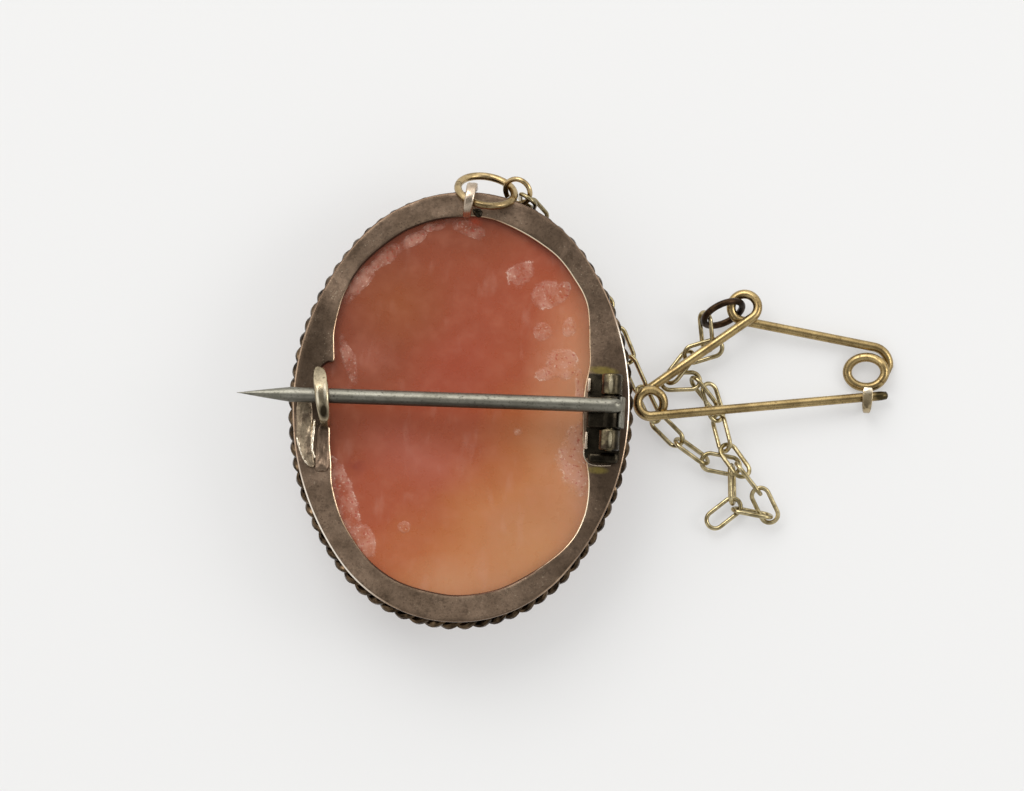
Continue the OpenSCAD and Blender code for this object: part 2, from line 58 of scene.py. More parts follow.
def placeCamera(setup):
    eye, aim = Vector(setup["eye"]) * mm, Vector(setup["aim"]) * mm
    forward = (aim - eye).normalized()
    right = forward.cross(Vector(setup["up"])).normalized()
    data = bpy.data.cameras.new("photoCamera")
    data.lens = setup["lens"]
    data.sensor_width = setup["sensor"]
    data.clip_start, data.clip_end = 0.01, 20
    camera = bpy.data.objects.new("photoCamera", data)
    turn = Matrix((right, right.cross(forward), -forward)).transposed().to_4x4()
    camera.matrix_world = Matrix.Translation(eye) @ turn
    bpy.context.scene.collection.objects.link(camera)
    bpy.context.scene.camera = camera


# A screen colour in 0 to 255 as the linear colour that the shaders use
def tone(red, green, blue):
    shares = [c / 255 for c in (red, green, blue)]
    return tuple(c / 12.92 if c < 0.04045 else ((c + 0.055) / 1.055) ** 2.4 for c in shares) + (1,)


def addNode(tree, kind, inputs=None, **values):
    made = tree.nodes.new(kind)
    for key, value in values.items():
        setattr(made, key, value)
    for key, value in (inputs or {}).items():
        made.inputs[key].default_value = value
    return made


def newMaterial(name):
    material = bpy.data.materials.new(name)
    material.use_nodes = True
    return material, material.node_tree, material.node_tree.nodes["Principled BSDF"]


def addRamp(tree, factor, stops):
    ramp = addNode(tree, "ShaderNodeValToRGB")
    elements = ramp.color_ramp.elements
    while len(elements) < len(stops):
        elements.new(0.5)
    for element, (place, colour) in zip(elements, stops):
        element.position = place
        element.color = colour
    tree.links.new(factor, ramp.inputs[0])
    return ramp.outputs[0]


def mixColour(tree, factor, first, second, blend="MIX"):
    mixed = addNode(tree, "ShaderNodeMix", data_type="RGBA", blend_type=blend)
    for socket, value in ((mixed.inputs[0], factor), (mixed.inputs[6], first), (mixed.inputs[7], second)):
        if isinstance(value, bpy.types.NodeSocket):
            tree.links.new(value, socket)
        else:
            socket.default_value = value
    return mixed.outputs[2]


def remap(tree, value, low, high, outLow=0.0, outHigh=1.0):
    mapped = addNode(tree, "ShaderNodeMapRange", {1: low, 2: high, 3: outLow, 4: outHigh})
    tree.links.new(value, mapped.inputs[0])
    return mapped.outputs[0]


def grey(value):
    return (value, value, value, 1)


lightSetup = {
    "low": 0.55,  # brightness of the room from the floor up to its ceiling
    "ring": 1.0,
    "zenith": 0.3,
    "tilt": 0.55,  # how much brighter the room is beyond the brooch than before it
    "strength": 1.12,
    "key": {"at": (-230, 400, 520), "size": 440, "power": 1.9},
    "side": {"at": (420, 60, 300), "size": 200, "power": 0.5},
    "floor": (168, 168, 167),
    "floorHalf": 3000,
    "floorDrop": 0.02,
    "glow": (242, 241, 240),
    "glowStrength": 0.44,
}


def addSoftbox(name, at, size, power):
    data = bpy.data.lights.new(name, "AREA")
    data.size = size * mm
    data.energy = power
    lamp = bpy.data.objects.new(name, data)
    lamp.location = Vector(at) * mm
    lamp.rotation_euler = (-Vector(at)).to_track_quat("-Z", "Y").to_euler()
    bpy.context.scene.collection.objects.link(lamp)


def lightStudio(setup):
    world = bpy.data.worlds.new("studio")
    bpy.context.scene.world = world
    world.use_nodes = True
    tree = world.node_tree
    background = tree.nodes["Background"]
    coordinates = addNode(tree, "ShaderNodeTexCoord")
    axes = addNode(tree, "ShaderNodeSeparateXYZ")
    tree.links.new(coordinates.outputs["Generated"], axes.inputs[0])
    colour = addRamp(tree, axes.outputs["Z"], [
        (0.0, grey(setup["low"])), (0.3, grey(setup["ring"])), (0.78, grey(setup["ring"])),
        (0.92, grey(setup["zenith"])), (1.0, grey(setup["zenith"])),
    ])
    tilted = remap(tree, axes.outputs["Y"], -1, 1, 1 - setup["tilt"], 1 + setup["tilt"])
    tree.links.new(mixColour(tree, 1.0, colour, tilted, "MULTIPLY"), background.inputs[0])
    background.inputs[1].default_value = setup["strength"]
    for name in ("key", "side"):
        lamp = setup[name]
        addSoftbox(name + "Light", lamp["at"], lamp["size"], lamp["power"])
    bpy.context.scene.view_settings.view_transform = "Standard"


def layFloor(setup):
    shape = bmesh.new()
    bmesh.ops.create_grid(shape, x_segments=1, y_segments=1, size=setup["floorHalf"] * mm)
    bmesh.ops.translate(shape, vec=(0, 0, -setup["floorDrop"] * mm), verts=shape.verts)
    mesh = bpy.data.meshes.new("paleFloor")
    shape.to_mesh(mesh)
    shape.free()
    floor = bpy.data.objects.new("paleFloor", mesh)
    bpy.context.scene.collection.objects.link(floor)
    material, _, shader = newMaterial("paleCard")
    shader.inputs["Base Color"].default_value = tone(*setup["floor"])
    shader.inputs["Roughness"].default_value = 0.85
    shader.inputs["Emission Color"].default_value = tone(*setup["glow"])
    shader.inputs["Emission Strength"].default_value = setup["glowStrength"]
    mesh.materials.append(material)


placeCamera(cameraSetup)
lightStudio(lightSetup)
layFloor(lightSetup)
print("camera, light and floor")


# metals and shell

# What the metals share; each look below names its colours, in 0 to 255, and what it changes
plainMetal = {
    "grain": 0.2,  # sizes of the fine grain and, in each look, of its patches, in millimetres
    "rough": (0.16, 0.3),
    "bump": 0.003,
    "scratch": 0.1,
    "blotch": 0.3,
    "speck": 0,
    "wear": (0.58, 0.7, 0.48, 0.43),  # pointedness of crests, from where they turn clean, and of dark grooves
    "paintedLightAndTints": [],  # patches of painted shade and painted highlight, and of stains and tints: middle, reach, turn in degrees, depth, colour
}
metalLooks = {
    "platedBack": {
        "clean": (150, 127, 107), "dull": (116, 97, 80), "dark": (58, 47, 37), "pale": (206, 190, 164),
        "stain": (150, 134, 64),
        "patch": 2.6, "rough": (0.3, 0.5), "bump": 0.02, "scratch": 0.3, "speck": 0.7, "blotch": 0.5,
        "paintedLightAndTints": [
            # the first two: painted shade on the plate's sides; the next three make its upper left, upper
            # right and lower right darker; two stains by the hinge; the last, painted shade under the hook's
            # foot
            ((-11.9, 1.5), (1.9, 9.5), 0, 0.7, "dark"), ((12.2, -2), (2.2, 9.5), 0, 0.7, "dark"),
            ((-8.2, 13.3), (3.4, 2.6), 0, 0.3, "dark"), ((9, 12), (7.5, 7.5), 0, 0.42, "dark"),
            ((9.5, -12), (6, 6), 0, 0.34, "dark"), ((11.2, 3.65), (1.4, 0.42), -3, 0.6, "stain"),
            ((11.1, -4.35), (1.1, 0.35), 0, 0.45, "stain"), ((-11, -1.9), (0.8, 0.5), 0, 0.8, "dark"),
        ],
    },
    "outerBevel": {
        "clean": (212, 182, 152), "dull": (184, 154, 128), "dark": (92, 74, 60), "paintedHighlight": (255, 244, 228),
        "patch": 2.4, "grain": 0.3,
        "paintedLightAndTints": [
            # painted highlights on the bevel at the lower left and the right, and painted shade over the rest
            # of it
            ((-10.5, -11), (4, 8), 35, 0.95, "paintedHighlight"), ((13.2, 4), (2, 6), 0, 0.9, "paintedHighlight"),
            ((-3, 13), (20, 15), 0, 0.97, "dark"), ((13, -10), (6, 10), 0, 0.6, "dark"),
            ((3, -17.5), (11, 5), 0, 0.75, "dark"),
        ],
    },
    "innerBevel": {
        "clean": (236, 208, 174), "dull": (200, 166, 134), "dark": (58, 36, 28), "paintedHighlight": (255, 238, 208),
        "patch": 2.4, "grain": 0.3, "rough": (0.14, 0.28),
        "paintedLightAndTints": [
            # painted highlights on the bevel at the upper right and the lower right, and painted shade over
            # the rest of it, deepest at the notch by the hook
            ((7, 12.5), (6, 5), -45, 0.9, "paintedHighlight"), ((10.3, -7.3), (1.6, 3.4), 0, 0.9, "paintedHighlight"),
            ((-6, 13), (9.5, 8.5), 0, 0.97, "dark"), ((0, -14.8), (15, 8), 0, 0.97, "dark"),
            ((-11.3, 1.4), (1.7, 2.8), 0, 0.98, "dark"), ((-11.1, 3.05), (0.9, 0.8), 0, 1, "dark"),
            ((10.6, -0.8), (1.2, 2.4), 0, 0.8, "dark"),
        ],
    },
    "ropeWire": {
        "clean": (98, 80, 60), "dull": (38, 29, 21), "dark": (14, 10, 6),
        "patch": 0.9, "bump": 0.004, "wear": (0.6, 0.75, 0.52, 0.46),
    },
    "hookGold": {
        "clean": (184, 170, 142), "dull": (160, 146, 120), "dark": (46, 38, 26), "paintedHighlight": (250, 240, 214),
        "patch": 1.5, "scratch": 0.15,
        "paintedLightAndTints": [
            # a dark spot on the hook's face, then two painted highlights as streaks down it
            ((-10.85, -0.98), (0.42, 0.75), 0, 0.97, "dark"), ((-11.36, 0.05), (0.13, 0.8), 6, 0.8, "paintedHighlight"),
            ((-10.82, 0.5), (0.13, 0.75), 4, 0.8, "paintedHighlight"),
        ],
    },
    "solder": {
        "clean": (178, 160, 134), "dull": (124, 108, 90), "dark": (66, 54, 44), "pale": (214, 196, 168),
        "patch": 0.7, "grain": 0.16, "rough": (0.24, 0.46), "bump": 0.04, "speck": 0.5,
    },
    "stapleSilver": {
        "clean": (212, 194, 172), "dull": (180, 162, 142), "dark": (84, 72, 60),
        "patch": 0.9, "grain": 0.14, "rough": (0.2, 0.34), "bump": 0.004, "scratch": 0.2,
    },
    "darkKnuckle": {
        "clean": (132, 120, 92), "dull": (66, 56, 46), "dark": (22, 19, 15), "paintedHighlight": (226, 212, 178),
        "patch": 0.7, "grain": 0.18, "rough": (0.14, 0.3), "bump": 0.006, "scratch": 0.15,
        "wear": (0.7, 0.9, 0.46, 0.4),
        "paintedLightAndTints": [
            # painted shade down the knuckles' right side, and a painted highlight as a stripe down each
            # knuckle
            ((12.45, 0.2), (0.5, 6), 0, 0.85, "dark"), ((11.87, 2.44), (0.2, 0.78), 0, 0.9, "paintedHighlight"),
            ((12.02, -1.98), (0.17, 0.7), 0, 0.9, "paintedHighlight"),
        ],
    },
    # near black; on the hinge's seat and the stem's knuckle it is painted shade, as they sit in shadow
    "blackKnuckle": {
        "clean": (56, 50, 40), "dull": (32, 28, 22), "dark": (12, 11, 9),
        "patch": 1.1, "grain": 0.18, "rough": (0.2, 0.36), "bump": 0.006, "wear": (0.66, 0.85, 0.46, 0.4),
    },
    "stemSteel": {
        "clean": (142, 139, 127), "dull": (124, 121, 109), "dark": (52, 46, 40),
        "patch": 2.6, "rough": (0.36, 0.46), "bump": 0.002, "wear": (0.7, 0.9, 0.46, 0.4),
        # painted shade along the stem's lower side
        "paintedLightAndTints": [((-3, -0.05), (15.5, 0.36), 1, 0.75, "dark")],
    },
    "ringBrass": {
        "clean": (196, 172, 128), "dull": (150, 128, 88), "dark": (72, 56, 34),
        # painted shade on the top ring's lower part
        "patch": 1.2, "grain": 0.16, "scratch": 0.2, "paintedLightAndTints": [((1.6, 16.3), (2.6, 1), 0, 0.5, "dark")],
    },
    "chainBrass": {
        "clean": (204, 188, 146), "dull": (144, 129, 90), "dark": (60, 48, 28),
        "patch": 0.9, "grain": 0.14, "rough": (0.14, 0.26), "bump": 0.002, "wear": (0.66, 0.85, 0.49, 0.44),
        # painted shade on the first links, where they pass by the rope
        "paintedLightAndTints": [((5.4, 16.2), (2.4, 2), 0, 0.5, "dark")],
    },
    "blackRing": {
        "clean": (72, 54, 38), "dull": (42, 30, 21), "dark": (16, 12, 8),
        "patch": 0.8, "grain": 0.14, "rough": (0.3, 0.5), "bump": 0.01,
    },
    "pinBrass": {
        "clean": (182, 158, 110), "dull": (142, 120, 80), "dark": (72, 54, 30), "blunt": (62, 54, 34),
        "patch": 1.8, "grain": 0.18, "rough": (0.22, 0.34), "bump": 0.002, "scratch": 0.08, "blotch": 0.2,
        "wear": (0.66, 0.85, 0.47, 0.42), "paintedLightAndTints": [((33.95, 3.4), (0.95, 0.7), 0, 0.95, "blunt")],
    },
    "catchPale": {
        "clean": (186, 168, 134), "dull": (160, 143, 112), "dark": (92, 76, 52), "paintedHighlight": (252, 238, 214),
        "patch": 0.8, "grain": 0.12, "rough": (0.2, 0.3), "scratch": 0.2,
        # painted highlights: a bright spot on the catch's top, and along the solder's raised edges
        "paintedLightAndTints": [((32.72, 3.72), (0.5, 0.36), 0, 0.9, "paintedHighlight"), ((-12, -3.5), (2, 3), 0, 0.9, "paintedHighlight")],
    },
}


def addNoise(tree, place, size, detail=4, roughness=0.55):
    scale = 1 / (size * mm)
    made = addNode(tree, "ShaderNodeTexNoise", {"Scale": scale, "Detail": detail, "Roughness": roughness})
    tree.links.new(place, made.inputs["Vector"])
    return made.outputs[0]


def addMath(tree, operation, first, second):
    made = addNode(tree, "ShaderNodeMath", operation=operation)
    for socket, value in zip(made.inputs, (first, second)):
        if isinstance(value, bpy.types.NodeSocket):
            tree.links.new(value, socket)
        else:
            socket.default_value = value
    return made.outputs[0]


def multiply(tree, first, second):
    return addMath(tree, "MULTIPLY", first, second)


# A coat of a screen colour over what is there
def addCoat(tree, colour, share, screen):
    return mixColour(tree, share, colour, tone(*screen))


# The place drawn out along one way, for scratches and veins
def addStretch(tree, place, scale, rotation):
    stretch = addNode(tree, "ShaderNodeMapping", {"Scale": scale, "Rotation": rotation})
    tree.links.new(place, stretch.inputs["Vector"])
    return stretch.outputs[0]


# A soft oval patch, turned by degrees: full depth within the soft share of its reach, and 0 outside it
def addPatch(tree, place, at, reach, turn, depth, soft=0.5):
    moved = addNode(tree, "ShaderNodeMapping", {
        "Location": Vector((*at, 0)) * mm,
        "Rotation": (0, 0, math.radians(turn)),
        "Scale": (reach[0] * mm, reach[1] * mm, 1),
    }, vector_type="TEXTURE")
    tree.links.new(place, moved.inputs["Vector"])
    length = addNode(tree, "ShaderNodeVectorMath", operation="LENGTH")
    tree.links.new(moved.outputs[0], length.inputs[0])
    return remap(tree, length.outputs["Value"], 1, soft, 0, depth)


# Bumps so many millimetres high
def addRelief(tree, shader, height, strength, high):
    bump = addNode(tree, "ShaderNodeBump", {"Strength": strength, "Distance": high * mm})
    tree.links.new(height, bump.inputs["Height"])
    tree.links.new(bump.outputs[0], shader.inputs["Normal"])


def agedMetal(name, changes):
    look = {**plainMetal, **changes}
    material, tree, shader = newMaterial(name)
    place = addNode(tree, "ShaderNodeTexCoord").outputs["Object"]
    patches = addNoise(tree, place, look["patch"])
    blotches = addNoise(tree, place, look["patch"] * 0.3, 6, 0.7)
    grain = addNoise(tree, place, look["grain"], 3)
    scratches = addNoise(tree, addStretch(tree, place, (1, 6, 1), (0.4, 0.2, 0.7)), look["grain"] * 2, 2)
    colour = addRamp(tree, patches, [(0.36, tone(*look["dull"])), (0.62, tone(*look["clean"]))])
    colour = addCoat(tree, colour, remap(tree, grain, 0.56, 0.72, 0, 0.7), look["dark"])
    colour = addCoat(tree, colour, remap(tree, blotches, 0.5, 0.68, 0, look["blotch"]), look["dark"])
    colour = addCoat(tree, colour, remap(tree, scratches, 0.6, 0.72, 0, look["scratch"]), look["clean"])
    crest, crestFull, groove, grooveFull = look["wear"]
    edge = addNode(tree, "ShaderNodeNewGeometry").outputs["Pointiness"]
    colour = addCoat(tree, colour, remap(tree, edge, crest, crestFull), look["clean"])
    colour = addCoat(tree, colour, remap(tree, edge, groove, grooveFull), look["dark"])
    # patches of painted shade and painted highlight, and of stains and tints
    for at, reach, turn, depth, patchTone in look["paintedLightAndTints"]:
        colour = addCoat(tree, colour, addPatch(tree, place, at, reach, turn, depth), look[patchTone])
    if look["speck"]:
        flecks = remap(tree, addNoise(tree, place, 0.11, 2), 0.66, 0.72, 0, look["speck"])
        colour = addCoat(tree, colour, multiply(tree, flecks, remap(tree, patches, 0.42, 0.6)), look["pale"])
    addRelief(tree, shader, mixColour(tree, 0.35, grain, patches), 0.6, look["bump"])
    tree.links.new(colour, shader.inputs["Base Color"])
    tree.links.new(remap(tree, grain, 0.3, 0.7, *look["rough"]), shader.inputs["Roughness"])
    shader.inputs["Metallic"].default_value = 1
    return material


shellLook = {
    # the shell's colour from the dark upper left to the pale lower right
    "along": [
        (-0.75, (126, 64, 42)), (-0.45, (138, 69, 44)), (-0.2, (146, 71, 47)), (0.05, (152, 76, 48)),
        (0.3, (162, 94, 54)), (0.5, (170, 108, 66)), (0.75, (166, 112, 76)),
    ],
    "cloud": (180, 112, 82), "residue": (188, 140, 122), "pale": (240, 216, 198), "grains": (150, 52, 34),
    "spot": (112, 30, 18), "spotAt": (-8.24, -4.9), "spotReach": (1.1, 1.0),
    # broad warm and dark places: middle, reach, turn in degrees, depth, colour
    "glows": [
        ((11, 2), (6.5, 12), 0, 0.9, (194, 138, 102)), ((6.5, -11), (5, 4), 30, 0.5, (178, 124, 80)),
        ((0, -13.8), (5, 2.5), 0, 0.6, (176, 126, 92)), ((-0.5, 3), (5.5, 5), 0, 0.45, (150, 66, 46)),
        ((-5.5, 8.2), (4.5, 4.2), 0, 0.6, (140, 76, 40)), ((-3, -4.2), (6, 2.6), -18, 0.4, (170, 98, 82)),
        ((0.3, 15.2), (0.7, 0.6), 0, 0.7, (176, 66, 36)), ((-7.6, 3.8), (2.5, 2), 0, 0.35, (164, 98, 78)),
    ],
    # where a pale film has dried on: middle, reach, turn in degrees, depth
    "residues": [
        ((4.2, 11.2), (1.7, 2.2), -32, 0.62), ((6.3, 9.6), (1.7, 2), -25, 0.85),
        ((7.6, 9.8), (0.9, 1.3), -25, 0.95), ((8.3, 7.1), (0.9, 1.2), 0, 0.9),
        ((6.2, 6.6), (1.2, 1.3), 0, 0.66), ((7.9, 4.2), (1.9, 1.9), 0, 0.9),
        ((6.6, 3.2), (1.4, 0.9), 10, 0.8), ((10.4, -3.4), (3.3, 4.4), 0, 1.0),
        ((9.4, 2.4), (0.6, 2.2), 5, 0.85), ((-8.7, 9.7), (1.0, 3), -37, 0.8),
        ((-6.7, 12), (0.95, 2.5), -47, 0.85), ((-4.6, 13.5), (0.8, 2), -56, 0.8),
        ((-9.3, 3.6), (0.8, 3.4), 20, 0.75), ((-9, -7.6), (1.5, 5.2), 20, 0.85),
        ((-7.1, -10.9), (1.1, 2.1), 25, 1.0), ((-0.2, 14.6), (2.2, 1), -20, 0.8),
        ((-3, 14.6), (1.6, 0.6), 15, 0.7), ((-4.05, -9.67), (0.75, 0.7), 0, 0.9),
        ((4.6, -1.4), (0.8, 0.8), 0, 0.56),
    ],
    # the front: its ground and its carving, each from dark to pale
    "ground": ((176, 96, 66), (204, 128, 92)), "carved": ((236, 206, 176), (244, 226, 202)),
}


# Light goes a little way into the shell
def addTranslucence(shader, weight, reach):
    shader.inputs["Subsurface Weight"].default_value = weight
    shader.inputs["Subsurface Radius"].default_value = [part * mm for part in reach]
    shader.inputs["Subsurface Scale"].default_value = 1


def shellMaterial(look):
    material, tree, shader = newMaterial("shellBack")
    place = addNode(tree, "ShaderNodeTexCoord").outputs["Object"]
    mottle = addNoise(tree, place, 1.3)
    axes = addNode(tree, "ShaderNodeSeparateXYZ")
    tree.links.new(place, axes.inputs[0])
    across = remap(tree, axes.outputs["X"], -11 * mm, 11 * mm, 0.1, 0.68)
    along = remap(tree, axes.outputs["Y"], -15.5 * mm, 15.5 * mm, 0.41, -0.23)
    clouds = remap(tree, addNoise(tree, place, 7, 3, 0.5), 0.3, 0.7, -0.06, 0.06)
    zone = addMath(tree, "ADD", addMath(tree, "ADD", across, along), clouds)
    colour = addRamp(tree, zone, [(0.5 + 0.5 * at, tone(*screen)) for at, screen in look["along"]])
    colour = addCoat(tree, colour, remap(tree, mottle, 0.5, 0.76, 0, 0.16), look["cloud"])
    veins = addNoise(tree, addStretch(tree, place, (1, 0.35, 1), (0, 0, 0.5)), 1.1, 3, 0.5)
    colour = addCoat(tree, colour, remap(tree, veins, 0.58, 0.72, 0, 0.16), look["residue"])
    for at, reach, turn, depth, screen in look["glows"]:
        colour = addCoat(tree, colour, addPatch(tree, place, at, reach, turn, depth, 0.1), screen)

    # the film: patches with ragged edges, a painted highlight along parts of their rims, and flecked and
    # grained within
    residue = 0
    for at, reach, turn, depth in look["residues"]:
        residue = addMath(tree, "MAXIMUM", residue, addPatch(tree, place, at, reach, turn, depth, 0.4))
    broken = multiply(tree, addNoise(tree, place, 1.5, 7, 0.75), 0.58)
    ragged = addMath(tree, "ADD", multiply(tree, residue, 0.42), broken)
    film = remap(tree, ragged, 0.48, 0.6)
    thick = remap(tree, addNoise(tree, place, 1.3, 4, 0.6), 0.38, 0.64, 0.06, 0.62)
    # painted highlight: a thin pale band round the film's edge, in places
    paintedRimHighlight = multiply(tree, remap(tree, ragged, 0.5, 0.515), remap(tree, ragged, 0.54, 0.52))
    paintedRimHighlight = multiply(tree, paintedRimHighlight, remap(tree, mottle, 0.5, 0.64, 0, 0.5))
    flecks = remap(tree, addNoise(tree, place, 0.2), 0.6, 0.72, 0, 0.4)
    grains = remap(tree, addNoise(tree, place, 0.26, 2), 0.4, 0.32, 0, 0.7)
    colour = addCoat(tree, colour, multiply(tree, film, thick), look["residue"])
    colour = addCoat(tree, colour, paintedRimHighlight, look["pale"])
    colour = addCoat(tree, colour, multiply(tree, film, flecks), look["pale"])
    colour = addCoat(tree, colour, multiply(tree, film, grains), look["grains"])
    spot = addPatch(tree, place, look["spotAt"], look["spotReach"], 0, 0.6, 0.1)
    colour = addCoat(tree, colour, multiply(tree, spot, remap(tree, mottle, 0.4, 0.6)), look["spot"])

    fine = multiply(tree, addNoise(tree, place, 0.35, 3, 0.6), 0.12)
    height = addMath(tree, "ADD", addMath(tree, "ADD", film, multiply(tree, mottle, 0.5)), fine)
    addRelief(tree, shader, height, 0.8, 0.035)
    addTranslucence(shader, 0.1, (1.2, 0.5, 0.3))
    tree.links.new(colour, shader.inputs["Base Color"])
    tree.links.new(remap(tree, mottle, 0.3, 0.7, 0.22, 0.4), shader.inputs["Roughness"])
    shader.inputs["Specular IOR Level"].default_value = 0.35
    shader.inputs["Coat Weight"].default_value = 0.08
    return material


def carvingMaterial(look):
    material, tree, shader = newMaterial("shellCarving")
    place = addNode(tree, "ShaderNodeTexCoord").outputs["Object"]
    raised = addNode(tree, "ShaderNodeAttribute", attribute_name="reliefHeight")
    mottle = addNoise(tree, place, 1.4)
    groundDark, groundPale = (tone(*screen) for screen in look["ground"])
    carvedDark, carvedPale = (tone(*screen) for screen in look["carved"])
    ground = addRamp(tree, mottle, [(0.35, groundDark), (0.7, groundPale)])
    carved = addRamp(tree, mottle, [(0.3, carvedDark), (0.7, carvedPale)])
    colour = mixColour(tree, remap(tree, raised.outputs["Fac"], 0.15, 1.1), ground, carved)
    addTranslucence(shader, 0.15, (1.2, 0.6, 0.4))
    tree.links.new(colour, shader.inputs["Base Color"])
    shader.inputs["Roughness"].default_value = 0.42
    return material


finishes = {name: agedMetal(name, look) for name, look in metalLooks.items()}
finishes["shellBack"] = shellMaterial(shellLook)
finishes["shellCarving"] = carvingMaterial(shellLook)
print("materials")


# shapes that repeat


# Ends a shape in millimetres as a piece in the place of its node
def keepPiece(shape, name, node, *surfaces, sharp=35):
    bmesh.ops.remove_doubles(shape, verts=shape.verts, dist=mergeReach)
    bmesh.ops.recalc_face_normals(shape, faces=shape.faces)
    bmesh.ops.scale(shape, vec=(mm, mm, mm), verts=shape.verts)
    mesh = bpy.data.meshes.new(name)
    shape.to_mesh(mesh)
    shape.free()
    mesh.polygons.foreach_set("use_smooth", [True] * len(mesh.polygons))
    mesh.set_sharp_from_angle(angle=math.radians(sharp))
    for surface in surfaces:
        mesh.materials.append(finishes[surface])
    piece = bpy.data.objects.new(name, mesh)
    bpy.context.scene.collection.objects.link(piece)
    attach(piece, "pin" if node == "pin_stem" else "root")
    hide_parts(node)


# The brooch's oval is four arcs: wide ones at its sides, narrow ones at its ends
oval = {"halfWide": 13.9, "halfLong": 17.7, "endShare": 0.855, "shift": (-0.05, 0.1)}
endRadius = oval["endShare"] * oval["halfWide"]
endCentre = oval["halfLong"] - endRadius
sideRadius = oval["halfWide"] ** 2 + endCentre ** 2 - endRadius ** 2
sideRadius /= 2 * (oval["halfWide"] - endRadius)
sideCentre = sideRadius - oval["halfWide"]
arcTurn = math.atan2(endCentre, sideCentre)


# A point on the oval and the heading of its outward normal
def ovalPoint(turn, inset):
    turn = turn % 1 * 4
    quarter = int(turn)
    sideLength = (sideRadius - inset) * arcTurn
    endLength = (endRadius - inset) * (math.pi / 2 - arcTurn)
    along = (turn - quarter if quarter % 2 == 0 else 1 - turn + quarter) * (sideLength + endLength)
    if along <= sideLength:
        swing, radius, centre = along / (sideRadius - inset), sideRadius - inset, (-sideCentre, 0)
    else:
        swing = arcTurn + (along - sideLength) / (endRadius - inset)
        radius, centre = endRadius - inset, (0, endCentre)
    signX = -1 if quarter in (1, 2) else 1
    signY = -1 if quarter >= 2 else 1
    place = (
        oval["shift"][0] + signX * (centre[0] + radius * math.cos(swing)),
        oval["shift"][1] + signY * (centre[1] + radius * math.sin(swing)))
    return place, math.atan2(signY * math.sin(swing), signX * math.cos(swing))


# A closed smooth line through the points
def smoothLine(points, steps=6):
    knots = np.array(points)
    line = []
    for i in range(len(knots)):
        a, b, c, d = (knots[(i + k) % len(knots)] for k in (-1, 0, 1, 2))
        for t in np.arange(steps) / steps:
            bend = (2 * a - 5 * b + 4 * c - d) * t ** 2 + (3 * b - a - 3 * c + d) * t ** 3
            line.append(0.5 * (2 * b + (c - a) * t + bend))
    return np.array(line)


# A smooth line from the first point to the last, as half of a closed one that runs there and back
def openLine(points, steps):
    return smoothLine(points + points[-2:0:-1], steps)[:steps * (len(points) - 1) + 1]


# A closed loop of edges through the places, from a circle of as many sides
def addLoop(shape, places):
    made = bmesh.ops.create_circle(shape, cap_ends=False, segments=len(places), radius=1)["verts"]
    for vert, place in zip(made, places):
        vert.co = place
    return list({edge for vert in made for edge in vert.link_edges})


def ovalPlaces(inset, height, count=360):
    return [(*ovalPoint(i / count, inset)[0], height) for i in range(count)]


# A sheet through (inset, height) all round the oval; the profile ends where it started if it is closed
def sweepOval(shape, profile, count=240):
    columns = len(profile) - 1
    made = bmesh.ops.create_grid(shape, x_segments=columns, y_segments=count, size=0.5)["verts"]
    for vert in made:
        inset, height = profile[round((vert.co.x + 0.5) * columns)]
        (x, y), _ = ovalPoint(round((vert.co.y + 0.5) * count) / count, inset)
        vert.co = (x, y, height)
    bmesh.ops.remove_doubles(shape, verts=made, dist=mergeReach)


def openEdges(shape):
    return [edge for edge in shape.edges if len(edge.link_faces) == 1]


def sharpEdges(edges, least):
    return [e for e in edges if len(e.link_faces) == 2 and e.calc_face_angle(0) > math.radians(least)]


def roundEdges(shape, edges, width, segments=3):
    bmesh.ops.bevel(
        shape, geom=edges, offset=width, segments=segments, profile=0.5, affect="EDGES", material=-1)


def roundNew(shape, verts, width, segments):
    edges = {edge for vert in verts for edge in vert.link_edges}
    roundEdges(shape, sharpEdges(edges, 60), width, segments)


# A block between two corners, with soft edges
def addBlock(shape, low, high, soft, segments=3):
    size = [b - a for a, b in zip(low, high)]
    middle = [(a + b) / 2 for a, b in zip(low, high)]
    place = Matrix.Translation(middle) @ Matrix.Diagonal((*size, 1))
    made = bmesh.ops.create_cube(shape, size=1, matrix=place)
    roundNew(shape, made["verts"], soft, segments)


# A cylinder along Y round an (x, z), with soft ends
def addBarrel(shape, x, z, radius, low, high, soft, segments=3, sides=48):
    place = Matrix.Translation((x, (low + high) / 2, z)) @ Matrix.Rotation(math.radians(90), 4, "X")
    made = bmesh.ops.create_cone(
        shape, cap_ends=True, segments=sides, radius1=radius, radius2=radius, depth=high - low, matrix=place)
    roundNew(shape, made["verts"], soft, segments)


# Adds a round wire through the points; shares thin it point by point
def addWire(shape, points, radius, closed=False, shares=None, sides=4):
    data = bpy.data.curves.new("wire", "CURVE")
    data.dimensions = "3D"
    data.bevel_depth = radius
    data.bevel_resolution = sides
    data.use_fill_caps = True
    data.twist_mode = "MINIMUM"
    spline = data.splines.new("POLY")
    spline.points.add(len(points) - 1)
    for i, (knot, place) in enumerate(zip(spline.points, points)):
        knot.co = (*place, 1)
        knot.radius = shares[i] if shares else 1
    spline.use_cyclic_u = closed
    holder = bpy.data.objects.new("wire", data)
    bpy.context.scene.collection.objects.link(holder)
    evaluated = holder.evaluated_get(bpy.context.evaluated_depsgraph_get())
    mesh = bpy.data.meshes.new_from_object(evaluated)
    shape.from_mesh(mesh)
    bpy.data.objects.remove(holder)
    bpy.data.curves.remove(data)
    bpy.data.meshes.remove(mesh)


# back plate and band

